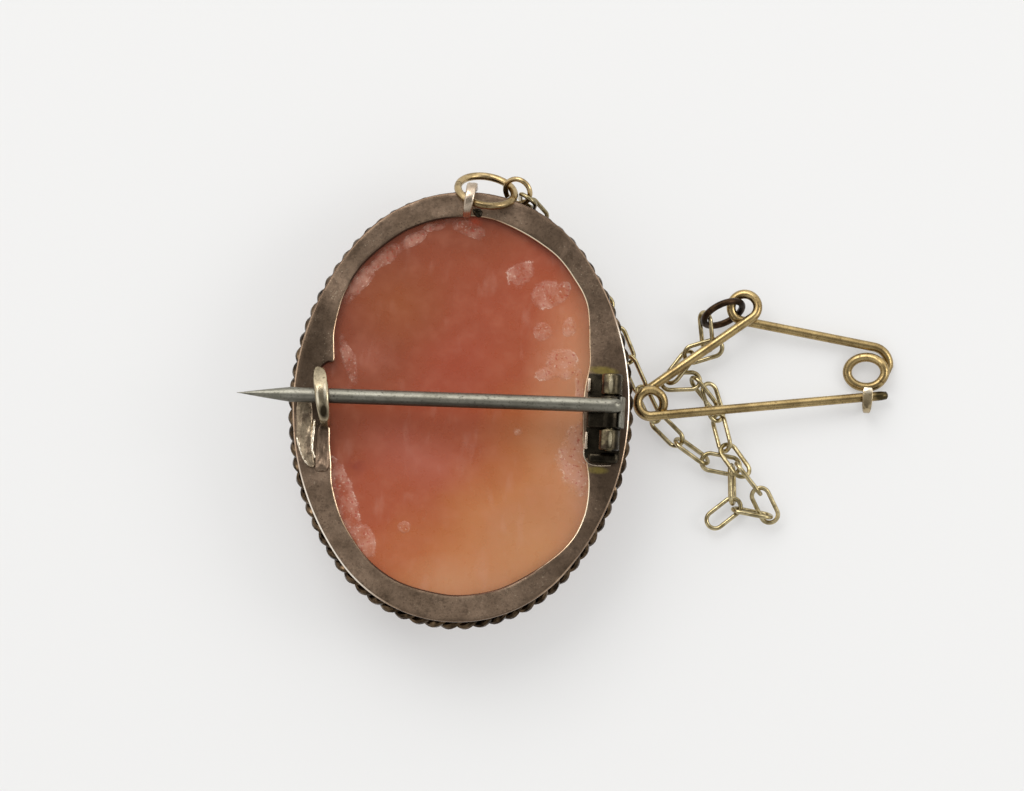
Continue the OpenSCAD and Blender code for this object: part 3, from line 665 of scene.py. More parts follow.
backPlate = {
    "low": 6.6, "high": 7.1, "inset": 0.42, "bevel": 0.12, "shift": (0.05, 0.1), "sides": 720, "ripple": 0.02,
    # the opening's outline, from the hinge round by the staple, the notch at the hook and the far end
    "opening": [
        (10.45, -5.2), (10.15, -3.6), (9.85, -2.3), (9.8, -1.2), (9.7, 0.6), (9.8, 2.4), (10.05, 4.2),
        (9.95, 5.8), (9.85, 7.3), (9.65, 8.7), (9.2, 9.8), (8.5, 10.85), (7.75, 11.85), (6.85, 12.75),
        (5.6, 13.6), (4.35, 14.3), (3, 14.9), (1.6, 15.35), (0, 15.5), (-1.6, 15.3), (-3.3, 14.9), (-5.3, 14),
        (-7.1, 12.6), (-8.6, 11), (-9.7, 9), (-10.2, 7.3), (-10.45, 5.6), (-10.4, 4.4), (-10.35, 3.3),
        (-10.85, 3.15), (-11.35, 2.6), (-11.35, 1.4), (-11.1, 0.2), (-10.65, -0.7), (-10.4, -1.9),
        (-10.3, -3.4), (-10.1, -4.9), (-9.9, -6.7), (-9, -9.3), (-7.4, -11.7), (-5.9, -13.1), (-4.1, -14.1),
        (-1.8, -14.7), (0.7, -14.9), (3.6, -14.3), (6.1, -12.95), (8.2, -11.3), (9.5, -9.8), (10.2, -8.2),
        (10.45, -6.8),
    ],
}


# The opening's edge, with a place for each place of the plate's outer edge
def openingPlaces(look):
    line = smoothLine(look["opening"], 16)
    turns = np.arctan2(line[:, 1], line[:, 0]) % (2 * math.pi)
    order = np.argsort(turns)
    reach = np.hypot(line[:, 0], line[:, 1])[order]
    places = []
    for x, y, z in ovalPlaces(0, look["high"], look["sides"]):
        turn = math.atan2(y, x) % (2 * math.pi)
        away = float(np.interp(turn, turns[order], reach, period=2 * math.pi))
        places.append((away * math.cos(turn), away * math.sin(turn), z))
    return places


def makeBackPlate(look):
    shape = bmesh.new()
    rim = ovalPlaces(look["inset"], look["high"], look["sides"])
    outer = addLoop(shape, [Vector(place) + Vector((*look["shift"], 0)) for place in rim])
    inner = addLoop(shape, openingPlaces(look))
    made = bmesh.ops.bridge_loops(shape, edges=outer + inner)
    across = [e for e in made["edges"] if len(e.link_faces) == 2]
    bmesh.ops.subdivide_edges(shape, edges=across, cuts=5, use_grid_fill=True)
    top = list(shape.faces)
    bmesh.ops.recalc_face_normals(shape, faces=top)
    extruded = bmesh.ops.extrude_face_region(shape, geom=top)
    lower = [v for v in extruded["geom"] if isinstance(v, bmesh.types.BMVert)]
    bmesh.ops.translate(shape, vec=(0, 0, look["low"] - look["high"]), verts=lower)
    bmesh.ops.recalc_face_normals(shape, faces=shape.faces)
    rims = [e for e in sharpEdges(shape.edges, 60) if e.verts[0].co.z > look["high"] - 0.01]
    roundEdges(shape, rims, look["bevel"])
    for face in shape.faces:  # the bevels have finishes of their own
        if 0.15 < face.normal.z < 0.97:
            outwards = face.normal.dot(face.calc_center_median()) > face.normal.z * look["high"]
            face.material_index = 1 if outwards else 2
    for vert in shape.verts:
        if vert.co.z > look["high"] - 0.001:
            vert.co.z += look["ripple"] * noise.noise(vert.co * 0.5)
    keepPiece(shape, "backPlate", "frame", "platedBack", "outerBevel", "innerBevel", sharp=50)


bezel = {"inset": 1.26, "seat": 1.47, "lip": 2.66, "low": 3.6, "lipHigh": 3.9, "high": 6.62, "soft": 0.08}


def makeBezel(look):
    shape = bmesh.new()
    inset, lip, low, soft = look["inset"], look["lip"], look["low"], look["soft"]
    sweepOval(shape, [
        (inset, look["high"]), (inset, low + soft), (inset + soft, low), (lip - soft, low), (lip, low + soft),
        (lip, look["lipHigh"]), (look["seat"], look["lipHigh"]), (look["seat"], look["high"]),
        (inset, look["high"]),
    ])
    keepPiece(shape, "bezelBand", "frame", "ropeWire")


makeBackPlate(backPlate)
makeBezel(bezel)
print("plate and bezel")


# rope edge

ropeEdge = {"inset": 0.62, "height": 4.6, "turns": 38, "wire": 0.325, "offset": 0.29, "steps": 14}


# Two strands that wind round each other along the oval
def makeRope(look):
    shape = bmesh.new()
    count = look["turns"] * look["steps"]
    for strand in (0, math.pi):
        points = []
        for i in range(count):
            (x, y), heading = ovalPoint(i / count, look["inset"])
            twist = strand + 2 * math.pi * look["turns"] * i / count
            out, up = look["offset"] * math.cos(twist), look["offset"] * math.sin(twist)
            points.append((x + out * math.cos(heading), y + out * math.sin(heading), look["height"] + up))
        addWire(shape, points, look["wire"], closed=True, sides=2)
    keepPiece(shape, "ropeEdge", "rope_edge", "ropeWire")


makeRope(ropeEdge)
print("rope edge")


# shell: the hollow back, and the carving on the hidden front

shellBody = {
    "inset": 1.54, "low": 4.0, "high": 6.5, "lap": 1, "rimDrop": 0.1, "hollow": 0.4, "ripple": 0.05,
    "rings": 26, "sides": 180,
}


def makeShellBack(look):
    shape = bmesh.new()
    inset, rings, sides = look["inset"], look["rings"], look["sides"]
    rimHigh = look["high"] - look["rimDrop"]
    sweepOval(shape, [(inset + look["lap"], look["low"]), (inset, look["low"]), (inset, rimHigh)], sides)
    made = bmesh.ops.create_grid(shape, x_segments=rings, y_segments=sides, size=0.5)["verts"]
    for vert in made:
        share = 1 - round((vert.co.x + 0.5) * rings) / rings  # 1 at the rim and 0 in the middle
        turn = round((vert.co.y + 0.5) * sides) / sides
        x, y = (part * share for part in ovalPoint(turn, inset + 0.08 * share)[0])
        away = math.hypot(x, y) / (oval["halfLong"] - inset)
        edge = min(1, (1 - share) * 12 + 0.2)
        wave = look["ripple"] * noise.noise(Vector((x, y, 0)) * 0.35) * min(1, (1 - share) * 6)
        vert.co = (x, y, look["high"] - look["hollow"] * (1 - away * away) * edge + wave)
    keepPiece(shape, "shellBack", "cameo", "shellBack", sharp=40)


# The figure's places are shares of the ground's half width and half length, its reaches are millimetres
carving = {
    "inset": 2.76, "low": 2.4, "rise": 1.6, "rim": 4.5, "columns": 230, "rows": 290,
    # masses: outline, radius of the ball that rounds it, that ball's middle and lowest height, edge's width
    "bust": ([
        (0.24, 0.62), (0.37, 0.53), (0.405, 0.455), (0.39, 0.405), (0.43, 0.355), (0.485, 0.3),
        (0.435, 0.268), (0.44, 0.235), (0.425, 0.212), (0.432, 0.19), (0.4, 0.165), (0.415, 0.13),
        (0.35, 0.085), (0.22, 0.07), (0.14, 0), (0.16, -0.12), (0.27, -0.25), (0.5, -0.4), (0.62, -0.56),
        (0.42, -0.72), (0, -0.8), (-0.42, -0.73), (-0.68, -0.54), (-0.58, -0.4), (-0.34, -0.27),
        (-0.2, -0.12), (-0.21, 0.08), (-0.3, 0.3), (-0.3, 0.5), (-0.12, 0.66),
    ], 42, (0.05, -0.05), 0.768, 1.3),
    "hair": ([
        (0.3, 0.6), (0.16, 0.5), (0.08, 0.34), (0, 0.16), (-0.12, 0.04), (-0.26, 0.1), (-0.4, 0.22),
        (-0.46, 0.42), (-0.36, 0.6), (-0.14, 0.71), (0.1, 0.72),
    ], 15, (-0.1, 0.42), 0.24, 1.1),
    "dress": ([
        (0.3, -0.34), (0.54, -0.42), (0.62, -0.57), (0.42, -0.73), (0, -0.81), (-0.42, -0.74),
        (-0.68, -0.55), (-0.56, -0.42), (-0.28, -0.5), (0, -0.56), (0.2, -0.48),
    ], 24, (0, -0.62), 0, 1.0),
    # dents in the face, and swells where the depth is below 0: depth, middle, reach, turn in degrees
    "dents": [
        (0.3, (0.345, 0.372), (0.62, 0.5), 0), (-0.34, (0.342, 0.368), (0.34, 0.26), 0),  # socket, eye
        (-0.16, (0.345, 0.392), (0.5, 0.1), -8), (-0.1, (0.335, 0.349), (0.42, 0.09), 10),  # lids
        (-0.22, (0.35, 0.425), (0.6, 0.24), -12), (-0.28, (0.25, 0.27), (1.1, 1.1), 0),  # brow, cheek
        (-0.2, (0.425, 0.285), (0.24, 0.2), 0), (0.16, (0.395, 0.275), (0.14, 0.34), 20),  # side of the nose
        (0.22, (0.41, 0.213), (0.42, 0.09), 0), (0.1, (0.36, 0.21), (0.3, 0.5), 0),  # mouth and its corner
        (-0.14, (0.42, 0.232), (0.36, 0.18), 0), (-0.14, (0.415, 0.193), (0.34, 0.18), 0),  # lips
        (-0.16, (0.385, 0.135), (0.5, 0.4), 0), (0.5, (0.2, 0.04), (1.6, 0.5), -12),  # chin, below the jaw
        (-0.2, (0.02, -0.1), (0.6, 2.4), 25), (0.3, (0.12, 0.32), (0.3, 0.6), 0),  # neck, hollow of the ear
    ],
    "earRim": (-0.3, (0.1, 0.33), (0.42, 0.8)), "earHole": (0.75, (0.1, 0.33), (0.2, 0.5)),
    "lockDepth": 0.17, "foldDepth": 0.12,
    # the knot and a curl, then a flower: middle, radius and depth of the lines that wind round the ball
    "curls": [((-0.42, 0.4), 2.5, 0.14), ((0.14, 0.6), 1.6, 0.1)],
    "flowerAt": (0.24, -0.5), "heart": (0.7, 0),
    "petals": 5, "petalRing": (0.1, 0.075), "petal": (0.85, 0.03),
}


# How far each place lies inside a closed line, and 0 outside it
def insideDistance(places, line):
    away = np.full(len(places), 1e9)
    inside = np.zeros(len(places), bool)
    for a, b in zip(line, np.roll(line, -1, 0)):
        along = np.clip(((places - a) @ (b - a)) / max((b - a) @ (b - a), 1e-12), 0, 1)
        away = np.minimum(away, np.linalg.norm(places - a - along[:, None] * (b - a), axis=1))
        crosses = (a[1] > places[:, 1]) != (b[1] > places[:, 1])
        rise = b[1] - a[1] if abs(b[1] - a[1]) > 1e-12 else 1e-12
        inside ^= crosses & (places[:, 0] < (b[0] - a[0]) * (places[:, 1] - a[1]) / rise + a[0])
    return np.where(inside, away, 0)


# The carving's heights over a plan in millimetres: the lowest face of all the masses
def carveHeights(x, y, look):
    wide, tall = oval["halfWide"] - look["inset"], oval["halfLong"] - look["inset"]
    u, v = -x / wide, y / tall
    dome = (tall * tall + look["rise"] ** 2) / (2 * look["rise"])
    ground = look["low"] + dome - np.sqrt(dome * dome - x * x - y * y)
    places = np.stack([-x, y], 1)

    def spread(at, reach, turn=0):
        du, dv = (u - at[0]) * wide, (v - at[1]) * tall
        c, s = math.cos(math.radians(turn)), math.sin(math.radians(turn))
        return np.exp(-((du * c + dv * s) / reach[0]) ** 2 - ((dv * c - du * s) / reach[1]) ** 2)

    def mass(line, radius, at, low, edge):
        inside = insideDistance(places, smoothLine(line) * np.array([wide, tall]))
        away2 = (u - at[0]) ** 2 * wide ** 2 + (v - at[1]) ** 2 * tall ** 2
        face = low + radius - np.sqrt(np.maximum(radius * radius - away2, 1))
        t = np.clip(inside / edge, 0, 1)
        return inside, ground + (face - ground) * np.sqrt(1 - (1 - t) ** 2)

    def ball(at, radius, waves):
        away2 = ((u - at[0]) * wide) ** 2 + ((v - at[1]) * tall) ** 2
        face = radius - np.sqrt(np.maximum(radius * radius - away2, 0))
        turn = np.arctan2((v - at[1]) * tall, (u - at[0]) * wide)
        face += waves * np.sin(turn * 3 + np.sqrt(away2) * 5) * np.clip(1 - away2 / radius ** 2, 0, 1)
        return np.where(away2 < radius * radius, face, 99)

    inBust, bust = mass(*look["bust"])
    inHair, hair = mass(*look["hair"])
    inDress, dress = mass(*look["dress"])
    for depth, at, reach, turn in look["dents"]:
        bust += depth * spread(at, reach, turn)
    (rimDepth, *rim), (holeShare, *hole) = look["earRim"], look["earHole"]
    bust += rimDepth * spread(*rim) * (spread(*hole) < holeShare)

    # locks of hair that run back to the knot, and folds of cloth
    swing = np.arctan2(v - 0.38, u + 0.5) * 11 + np.hypot((u + 0.42) * wide, (v - 0.4) * tall) * 0.5
    hair += look["lockDepth"] * np.sin(swing * 1.6) * np.clip(inHair / 0.6, 0, 1)
    folds = np.sin((u * 1.3 + (v + 0.6) * (v + 0.6) * 5 * np.sign(u + 0.05)) * 16 + 2 * v)
    dress += look["foldDepth"] * (1 - folds) * np.clip(inDress / 0.5, 0, 1)
    height = np.minimum(np.minimum(bust, hair), dress)
    height = np.where(inBust + inHair + inDress > 0, np.minimum(height, ground), ground)

    (flowerU, flowerV), (ringU, ringV) = look["flowerAt"], look["petalRing"]
    balls = [*look["curls"], (look["flowerAt"], *look["heart"])]
    for petal in range(look["petals"]):
        turn = 2 * math.pi * petal / look["petals"]
        at = (flowerU + ringU * math.cos(turn), flowerV + ringV * math.sin(turn))
        balls.append((at, *look["petal"]))
    for details in balls:
        height = np.minimum(height, ball(*details))
    return np.maximum(height, 0.005), ground


def makeCarving(look):
    shape = bmesh.new()
    bmesh.ops.create_grid(shape, x_segments=look["columns"], y_segments=look["rows"], size=1)
    # the square grid is drawn out to a disc, and the disc to the oval
    s = np.array([vert.co.x for vert in shape.verts])
    t = np.array([vert.co.y for vert in shape.verts])
    discX, discY = s * np.sqrt(1 - t * t / 2), t * np.sqrt(1 - s * s / 2)
    turn = np.arctan2(discY, discX)
    rim = np.array(ovalPlaces(look["inset"], 0, 720))
    rimTurn = np.arctan2(rim[:, 1], rim[:, 0]) % (2 * math.pi)
    order = np.argsort(rimTurn)
    rimReach = np.hypot(rim[:, 0], rim[:, 1])[order]
    reach = np.interp(turn % (2 * math.pi), rimTurn[order], rimReach, period=2 * math.pi)
    reach = reach * np.hypot(discX, discY)
    x, y = reach * np.cos(turn), reach * np.sin(turn)
    height, ground = carveHeights(x, y, look)
    raised = shape.verts.layers.float.new("reliefHeight")
    for vert, atX, atY, atZ, base in zip(shape.verts, x, y, height, ground):
        vert.co = (atX, atY, atZ)
        vert[raised] = base - atZ
    grown = bmesh.ops.extrude_edge_only(shape, edges=openEdges(shape))["geom"]
    for part in grown:
        if isinstance(part, bmesh.types.BMVert):
            part.co.z = look["rim"]
    bmesh.ops.contextual_create(shape, geom=[e for e in grown if isinstance(e, bmesh.types.BMEdge)])
    keepPiece(shape, "shellCarving", "cameo", "shellCarving", sharp=60)


makeShellBack(shellBody)
makeCarving(carving)
print("shell")


# hinge seat, rivet, hook and staple

hinge = {
    "x": 11.93, "y": 0.23, "z": 8.4,  # the middle of the rivet
    "knuckle": 0.825, "outer": 1.7, "middle": 2.6, "gap": 0.06, "rivet": 0.35, "rivetEnd": 0.05,
    "back": 7.1, "sunk": 0.1,  # the plate's face, and how far the seat goes into it
    "wallFrom": 0.7, "wallTo": 0.8, "wallInset": 0.05,  # shares of the knuckle's radius
    "footBack": 1.85, "floorHigh": 7.18, "floorEnds": (0.6, 0.1), "floorOver": 0.1,
    "ledgeHigh": 7.7, "ledgeFrom": 0.25, "ledgeEnds": (0.95, 0.12),
    "lip": [(10.02, -2.3), (10.0, -3.1), (10.2, -3.6), (10.6, -3.9), (11.3, -3.98), (12.2, -3.9)],
    "lipWire": 0.08, "lipRise": 0.02,
    "flangeFrom": -0.08, "flangeTo": 0.2, "flanges": [(0.1, 1.5, 7.62), (4.67, 5.77, 7.85)],
}


# Where the hinge starts and ends along Y
def hingeEnds(look):
    half = look["middle"] / 2 + look["gap"] + look["outer"]
    return look["y"] - half, look["y"] + half


# Where each of its outer knuckles starts and ends
def knuckleEnds(look):
    low, high = hingeEnds(look)
    return (low, low + look["outer"]), (high - look["outer"], high)


def makeHingeKnuckles(look):
    shape = bmesh.new()
    for low, high in knuckleEnds(look):
        addBarrel(shape, look["x"], look["z"], look["knuckle"], low, high, 0.16, 4)
    keepPiece(shape, "hingeKnuckles", "frame", "darkKnuckle")


# A floor with a wall up to each knuckle and a ledge before the first, near black as painted shade
def makeHingeSeat(look):
    shape = bmesh.new()
    x, radius = look["x"], look["knuckle"]
    foot, sunk = x - look["footBack"], look["back"] - look["sunk"]
    for low, high in knuckleEnds(look):
        near = (x - radius * look["wallFrom"], low + look["wallInset"], look["back"])
        far = (x + radius * look["wallTo"], high - look["wallInset"], look["z"])
        addBlock(shape, near, far, 0.1)
    low, high = hingeEnds(look)
    start, stop = (low - end for end in look["ledgeEnds"])
    addBlock(shape, (foot + look["ledgeFrom"], start, sunk), (x + radius, stop, look["ledgeHigh"]), 0.3, 5)
    start, stop = low - look["floorEnds"][0], high + look["floorEnds"][1]
    addBlock(shape, (foot, start, sunk), (x + radius + look["floorOver"], stop, look["floorHigh"]), 0.06)
    keepPiece(shape, "hingeSeat", "frame", "blackKnuckle")


# A thin bright thread of metal round the seat's corner
def makeHingeLip(look):
    shape = bmesh.new()
    high = look["back"] + look["lipRise"]
    addWire(shape, [(x, y, high) for x, y in openLine(look["lip"], 6)], look["lipWire"], sides=3)
    keepPiece(shape, "hingeLip", "frame", "stapleSilver", sharp=60)


def makeHingeFlanges(look):
    shape = bmesh.new()
    foot, sunk = look["x"] - look["footBack"], look["back"] - look["sunk"]
    low, _ = hingeEnds(look)
    for start, stop, top in look["flanges"]:
        near, far = foot + look["flangeFrom"], foot + look["flangeTo"]
        addBlock(shape, (near, low + start, sunk), (far, low + stop, top), 0.1)
    keepPiece(shape, "hingeFlanges", "frame", "stapleSilver")


def makeHingeRivet(look):
    shape = bmesh.new()
    low, high = (end + over for end, over in zip(hingeEnds(look), (-look["rivetEnd"], look["rivetEnd"])))
    addBarrel(shape, look["x"], look["z"], look["rivet"], low, high, 0.1, sides=32)
    keepPiece(shape, "hingeRivet", "hinge_rivet", "darkKnuckle")


catchHook = {
    "x": -10.97, "y": 0.35, "z": 7.775, "radius": 1.9, "thick": 0.6, "wide": 1.26, "back": 7.1, "lean": -0.15,
    "open": 25, "steps": 33, "taper": 0.46, "bow": 0.1,  # taper: how much narrower it is at its foot
    "tipShare": 0.3, "tipTaper": 0.32, "cutAt": (0.72, 0.78), "cutWay": (-0.12, 0.62, 0.78),
    "footShares": (0.35, 0.7, 1.05),
}


# A strip of changing width through the stations (place, way, across, width, thickness)
def drawStrip(shape, stations, square, sides=28):
    rows = len(stations) - 1
    made = bmesh.ops.create_grid(shape, x_segments=sides, y_segments=rows, size=0.5)["verts"]
    for vert in made:
        turn = 2 * math.pi * (round((vert.co.x + 0.5) * sides) % sides) / sides
        place, way, across, wide, thick = stations[round((vert.co.y + 0.5) * rows)]
        c, s = (math.copysign(abs(part) ** square, part) for part in (math.cos(turn), math.sin(turn)))
        up = Vector(across).cross(Vector(way)).normalized()
        vert.co = Vector(place) + Vector(across) * (c * wide / 2) + up * (s * thick / 2)
    bmesh.ops.remove_doubles(shape, verts=made, dist=mergeReach)
    bmesh.ops.holes_fill(shape, edges=openEdges(shape), sides=0)


def makeHook(look):
    shape = bmesh.new()
    middle = look["radius"] + look["thick"] / 2
    stations = []
    for i in range(look["steps"] + 1):
        share = i / look["steps"]  # 0 at the tip and 1 at the foot
        turn = math.radians(look["open"] + (180 - look["open"]) * share)
        y, z = middle * math.cos(turn), middle * math.sin(turn)
        tip = max(0, 1 - share / look["tipShare"])
        x = look["lean"] * y - look["bow"] * (math.sin(math.pi * share) + tip)
        wide = look["wide"] * (1 - look["taper"] * share ** 2 - look["tipTaper"] * tip)
        way = (0, -math.sin(turn), math.cos(turn))
        stations.append(((x, y, z), way, (1, look["lean"], 0), wide, look["thick"]))
    footWide = look["wide"] * (1 - look["taper"])
    for share in look["footShares"]:
        place = (look["lean"] * -middle, -middle, (look["back"] - look["z"]) * share)
        stations.append((place, (0, 0, -1), (1, 0, 0), footWide, look["thick"]))
    drawStrip(shape, stations, 0.7)
    cutY, cutZ = (middle * share for share in look["cutAt"])
    everything = [*shape.verts, *shape.edges, *shape.faces]
    bmesh.ops.bisect_plane(
        shape, geom=everything, plane_co=(0, cutY, cutZ), plane_no=look["cutWay"], clear_outer=True)
    bmesh.ops.holes_fill(shape, edges=openEdges(shape), sides=0)
    bmesh.ops.recalc_face_normals(shape, faces=shape.faces)
    bmesh.ops.translate(shape, vec=(look["x"], look["y"], look["z"]), verts=shape.verts)
    keepPiece(shape, "catchHook", "frame", "hookGold", sharp=38)


# Solder below the hook: masses with stations of (x, y, width, height), and raised edges as wires
solder = {
    "back": 7.1, "sunk": 0.15, "rough": ((1.4, 0.08), (5, 0.06)),
    "masses": {
        "solderTongue": {
            "finish": "solder",
            "stations": [
                (-12.6, 0.3, 0.5, 0.15), (-12.55, -0.1, 1.1, 0.3), (-12.5, -0.7, 1.32, 0.38),
                (-12.45, -1.5, 1.36, 0.42), (-12.4, -2.4, 1.36, 0.42), (-12.32, -3.3, 1.3, 0.46),
                (-12.15, -4.1, 1.2, 0.5), (-11.95, -4.75, 1.0, 0.5), (-11.75, -5.1, 0.7, 0.4),
                (-11.65, -5.35, 0.3, 0.2),
            ],
        },
        "solderFoot": {
            "finish": "platedBack",
            "stations": [
                (-10.95, -1.8, 0.5, 0.1), (-10.93, -2.3, 0.9, 0.22), (-10.9, -3.4, 1.0, 0.2),
                (-10.88, -4.3, 1.1, 0.26), (-10.86, -4.9, 1.15, 0.44), (-10.87, -5.3, 1.12, 0.46),
                (-10.9, -5.55, 0.9, 0.3), (-10.9, -5.65, 0.4, 0.1),
            ],
        },
    },
    "edgeHigh": 7.2,
    "edges": {
        "solderRidge": {
            "radius": 0.12,
            "knots": [(-11.64, -1.5), (-11.66, -2.3), (-11.72, -3.2), (-11.7, -4), (-11.42, -4.6)],
        },
        "solderRim": {
            "radius": 0.1,
            "knots": [(-12.98, -3), (-12.74, -3.7), (-12.5, -4.3), (-12.2, -4.85), (-11.85, -5.2)],
        },
    },
}


def makeSolderMass(name, mass, look):
    shape = bmesh.new()
    back = look["back"]
    stations = [((x, y, back), (0, -1, 0), (1, 0, 0), wide, thick) for x, y, wide, thick in mass["stations"]]
    drawStrip(shape, stations, 0.8)
    bmesh.ops.subdivide_edges(shape, edges=shape.edges, cuts=2, use_grid_fill=True, smooth=0.4)
    for vert in shape.verts:
        if vert.co.z > back:
            vert.co.z += sum(noise.noise(vert.co * often) * deep for often, deep in look["rough"])
        vert.co.z = max(vert.co.z, back - look["sunk"])
    keepPiece(shape, name, "frame", mass["finish"], sharp=60)


def makeSolderEdge(name, edge, look):
    shape = bmesh.new()
    points = [(x, y, look["edgeHigh"]) for x, y in openLine(edge["knots"], 5)]
    shares = []
    for i in range(len(points)):  # uneven, and thin at both ends
        ends = min(1, 0.3 + 0.35 * i, 0.3 + 0.35 * (len(points) - 1 - i))
        shares.append(ends * (1 + 0.22 * math.sin(i * 2.1)))
    addWire(shape, points, edge["radius"], shares=shares, sides=3)
    # its finish paints a highlight along these edges
    keepPiece(shape, name, "frame", "catchPale", sharp=60)


staple = {
    "x": -0.22, "y": 16.75, "z": 7.75, "radius": 1.0, "thick": 0.4, "wide": 0.76, "lean": 0.13, "taper": 0.1,
    "outerLow": 4.9, "innerLow": 7.05, "blobAt": (0.48, 15.82, 7.1), "blobReach": (0.42, 0.34, 0.2),
}


def makeStaple(look):
    shape = bmesh.new()
    middle = look["radius"] + look["thick"] / 2
    made = bmesh.ops.create_grid(shape, x_segments=1, y_segments=1, size=0.5)["verts"]
    for vert in made:
        vert.co = (vert.co.x * look["wide"], middle + vert.co.y * look["thick"], 0)
    first = list(shape.faces)
    spun = bmesh.ops.spin(shape, geom=first, cent=(0, 0, 0), axis=(1, 0, 0), angle=math.pi, steps=24)
    last = [f for f in spun["geom_last"] if isinstance(f, bmesh.types.BMFace)]
    for ends, low in ((first, look["outerLow"]), (last, look["innerLow"])):
        leg = bmesh.ops.extrude_face_region(shape, geom=ends)
        for part in leg["geom"]:
            if isinstance(part, bmesh.types.BMVert):
                part.co.z = low - look["z"]
        bmesh.ops.delete(shape, geom=[f for f in ends if f.is_valid], context="FACES")
    bmesh.ops.recalc_face_normals(shape, faces=shape.faces)
    roundEdges(shape, sharpEdges(shape.edges, 40), 0.16, 4)
    for vert in shape.verts:
        vert.co.x = vert.co.x * (1 + look["taper"] * vert.co.y) + look["lean"] * vert.co.y
    bmesh.ops.translate(shape, vec=(look["x"], look["y"], look["z"]), verts=shape.verts)
    keepPiece(shape, "ringStaple", "frame", "stapleSilver", sharp=45)


def makeStapleSolder(look):
    shape = bmesh.new()
    middle = Vector(look["blobAt"])
    place = Matrix.Translation(middle) @ Matrix.Diagonal((*look["blobReach"], 1))
    bmesh.ops.create_icosphere(shape, subdivisions=4, radius=1, matrix=place)
    for vert in shape.verts:
        vert.co += (vert.co - middle) * noise.noise(vert.co * 3) * 0.35
    keepPiece(shape, "stapleSolder", "frame", "blackKnuckle", sharp=60)


makeHingeKnuckles(hinge)
makeHingeSeat(hinge)
makeHingeLip(hinge)
makeHingeFlanges(hinge)
makeHingeRivet(hinge)
makeHook(catchHook)
for name, mass in solder["masses"].items():
    makeSolderMass(name, mass, solder)
for name, edge in solder["edges"].items():
    makeSolderEdge(name, edge, solder)
makeStaple(staple)
makeStapleSolder(staple)
print("hinge, hook and staple")


# stem

pinStem = {
    "y": 0.72, "z": 9.375, "radius": 0.6, "fall": 1.051, "turn": 1.0,  # fall and turn in degrees
    "length": 29.83, "point": 4.3, "pointSteps": 12, "tip": 0.03,
    "end": [((0.66, 0, -0.34), 0.72), ((0.5, 0, -0.1), 0.92), ((0.26, 0, 0), 1)],  # place, share of radius
    "straight": (0, 0.4, 1, 3, 6, 9, 12, 15, 18, 21, 23, 24.5),
    "strap": 0.33, "strapSide": 0.05, "strapFrom": 46, "strapTo": 125,  # degrees round the rivet
    "tail": 1.8, "tailOver": 0.3, "tailSide": 0.1, "tailDown": 0.72, "tailUp": 0.62,
}


def makeStemShaft(look, seat):
    shape = bmesh.new()
    start = Vector((seat["x"], look["y"], look["z"]))
    turn, fall = math.tan(math.radians(look["turn"])), math.tan(math.radians(look["fall"]))
    way = Vector((-1, -turn, -fall)).normalized()
    points = [start + Vector(place) for place, _ in look["end"]]
    points += [start + way * along for along in look["straight"]]
    shares = [share for _, share in look["end"]] + [1] * len(look["straight"])
    for i in range(look["pointSteps"] + 1):
        t = i / look["pointSteps"]
        points.append(start + way * (look["length"] - look["point"] * (1 - t)))
        shares.append(max(look["tip"], 1 - t * 0.94 - 0.06 * t * t + 0.08 * t * (1 - t)))
    addWire(shape, points, look["radius"], shares=shares, sides=10)
    keepPiece(shape, "stemShaft", "pin_stem", "stemSteel", sharp=50)


def makeStemKnuckle(look, seat):
    shape = bmesh.new()
    x, y, z = seat["x"], seat["y"], seat["z"]
    low, high = y - seat["middle"] / 2, y + seat["middle"] / 2
    addBarrel(shape, x, z, seat["knuckle"], low, high, 0.12)
    near = (x - look["tail"], low, z - look["tailDown"])
    addBlock(shape, near, (x + look["tailOver"], y + look["tailSide"], z + look["tailUp"]), 0.2, 4)
    # near black: painted shade, as the knuckle sits in shadow
    keepPiece(shape, "stemKnuckle", "pin_stem", "blackKnuckle")


def makeStemStrap(look, seat):
    shape = bmesh.new()
    wide, middle = seat["middle"] - 2 * look["strapSide"], seat["knuckle"] + look["strap"] / 2
    made = bmesh.ops.create_grid(shape, x_segments=1, y_segments=1, size=0.5)["verts"]
    for vert in made:
        vert.co = (0, vert.co.x * wide, middle + vert.co.y * look["strap"])
    first, sweep = math.radians(look["strapFrom"]), math.radians(look["strapTo"] - look["strapFrom"])
    bmesh.ops.rotate(shape, cent=(0, 0, 0), matrix=Matrix.Rotation(first, 3, "Y"), verts=made)
    bmesh.ops.spin(shape, geom=list(shape.faces), cent=(0, 0, 0), axis=(0, 1, 0), angle=sweep, steps=18)
    bmesh.ops.recalc_face_normals(shape, faces=shape.faces)
    roundEdges(shape, sharpEdges(shape.edges, 40), 0.1)
    bmesh.ops.translate(shape, vec=(seat["x"], seat["y"], seat["z"]), verts=shape.verts)
    keepPiece(shape, "stemStrap", "pin_stem", "stemSteel", sharp=45)


makeStemShaft(pinStem, hinge)
makeStemKnuckle(pinStem, hinge)
makeStemStrap(pinStem, hinge)
print("stem")


# rings

rings = {
    "topRing": {
        "node": "top_ring", "finish": "ringBrass", "at": (1.05, 17.7, 6.45), "turn": -8, "lean": -53,
        "outer": 5.2, "wire": 0.62, "cut": 176,
    },
    "firstRing": {
        "node": "first_ring", "finish": "ringBrass", "at": (3.58, 17.86, 6.0), "turn": -35, "lean": 38,
        "outer": 2.55, "wire": 0.42, "cut": 250,
    },
    "endRing": {
        "node": "end_ring", "finish": "blackRing", "at": (20.7, 9.3, 1.85), "turn": 27, "lean": 68,
        "outer": 3.9, "wire": 0.55, "cut": 120,
    },
}
ringGap = 0.05


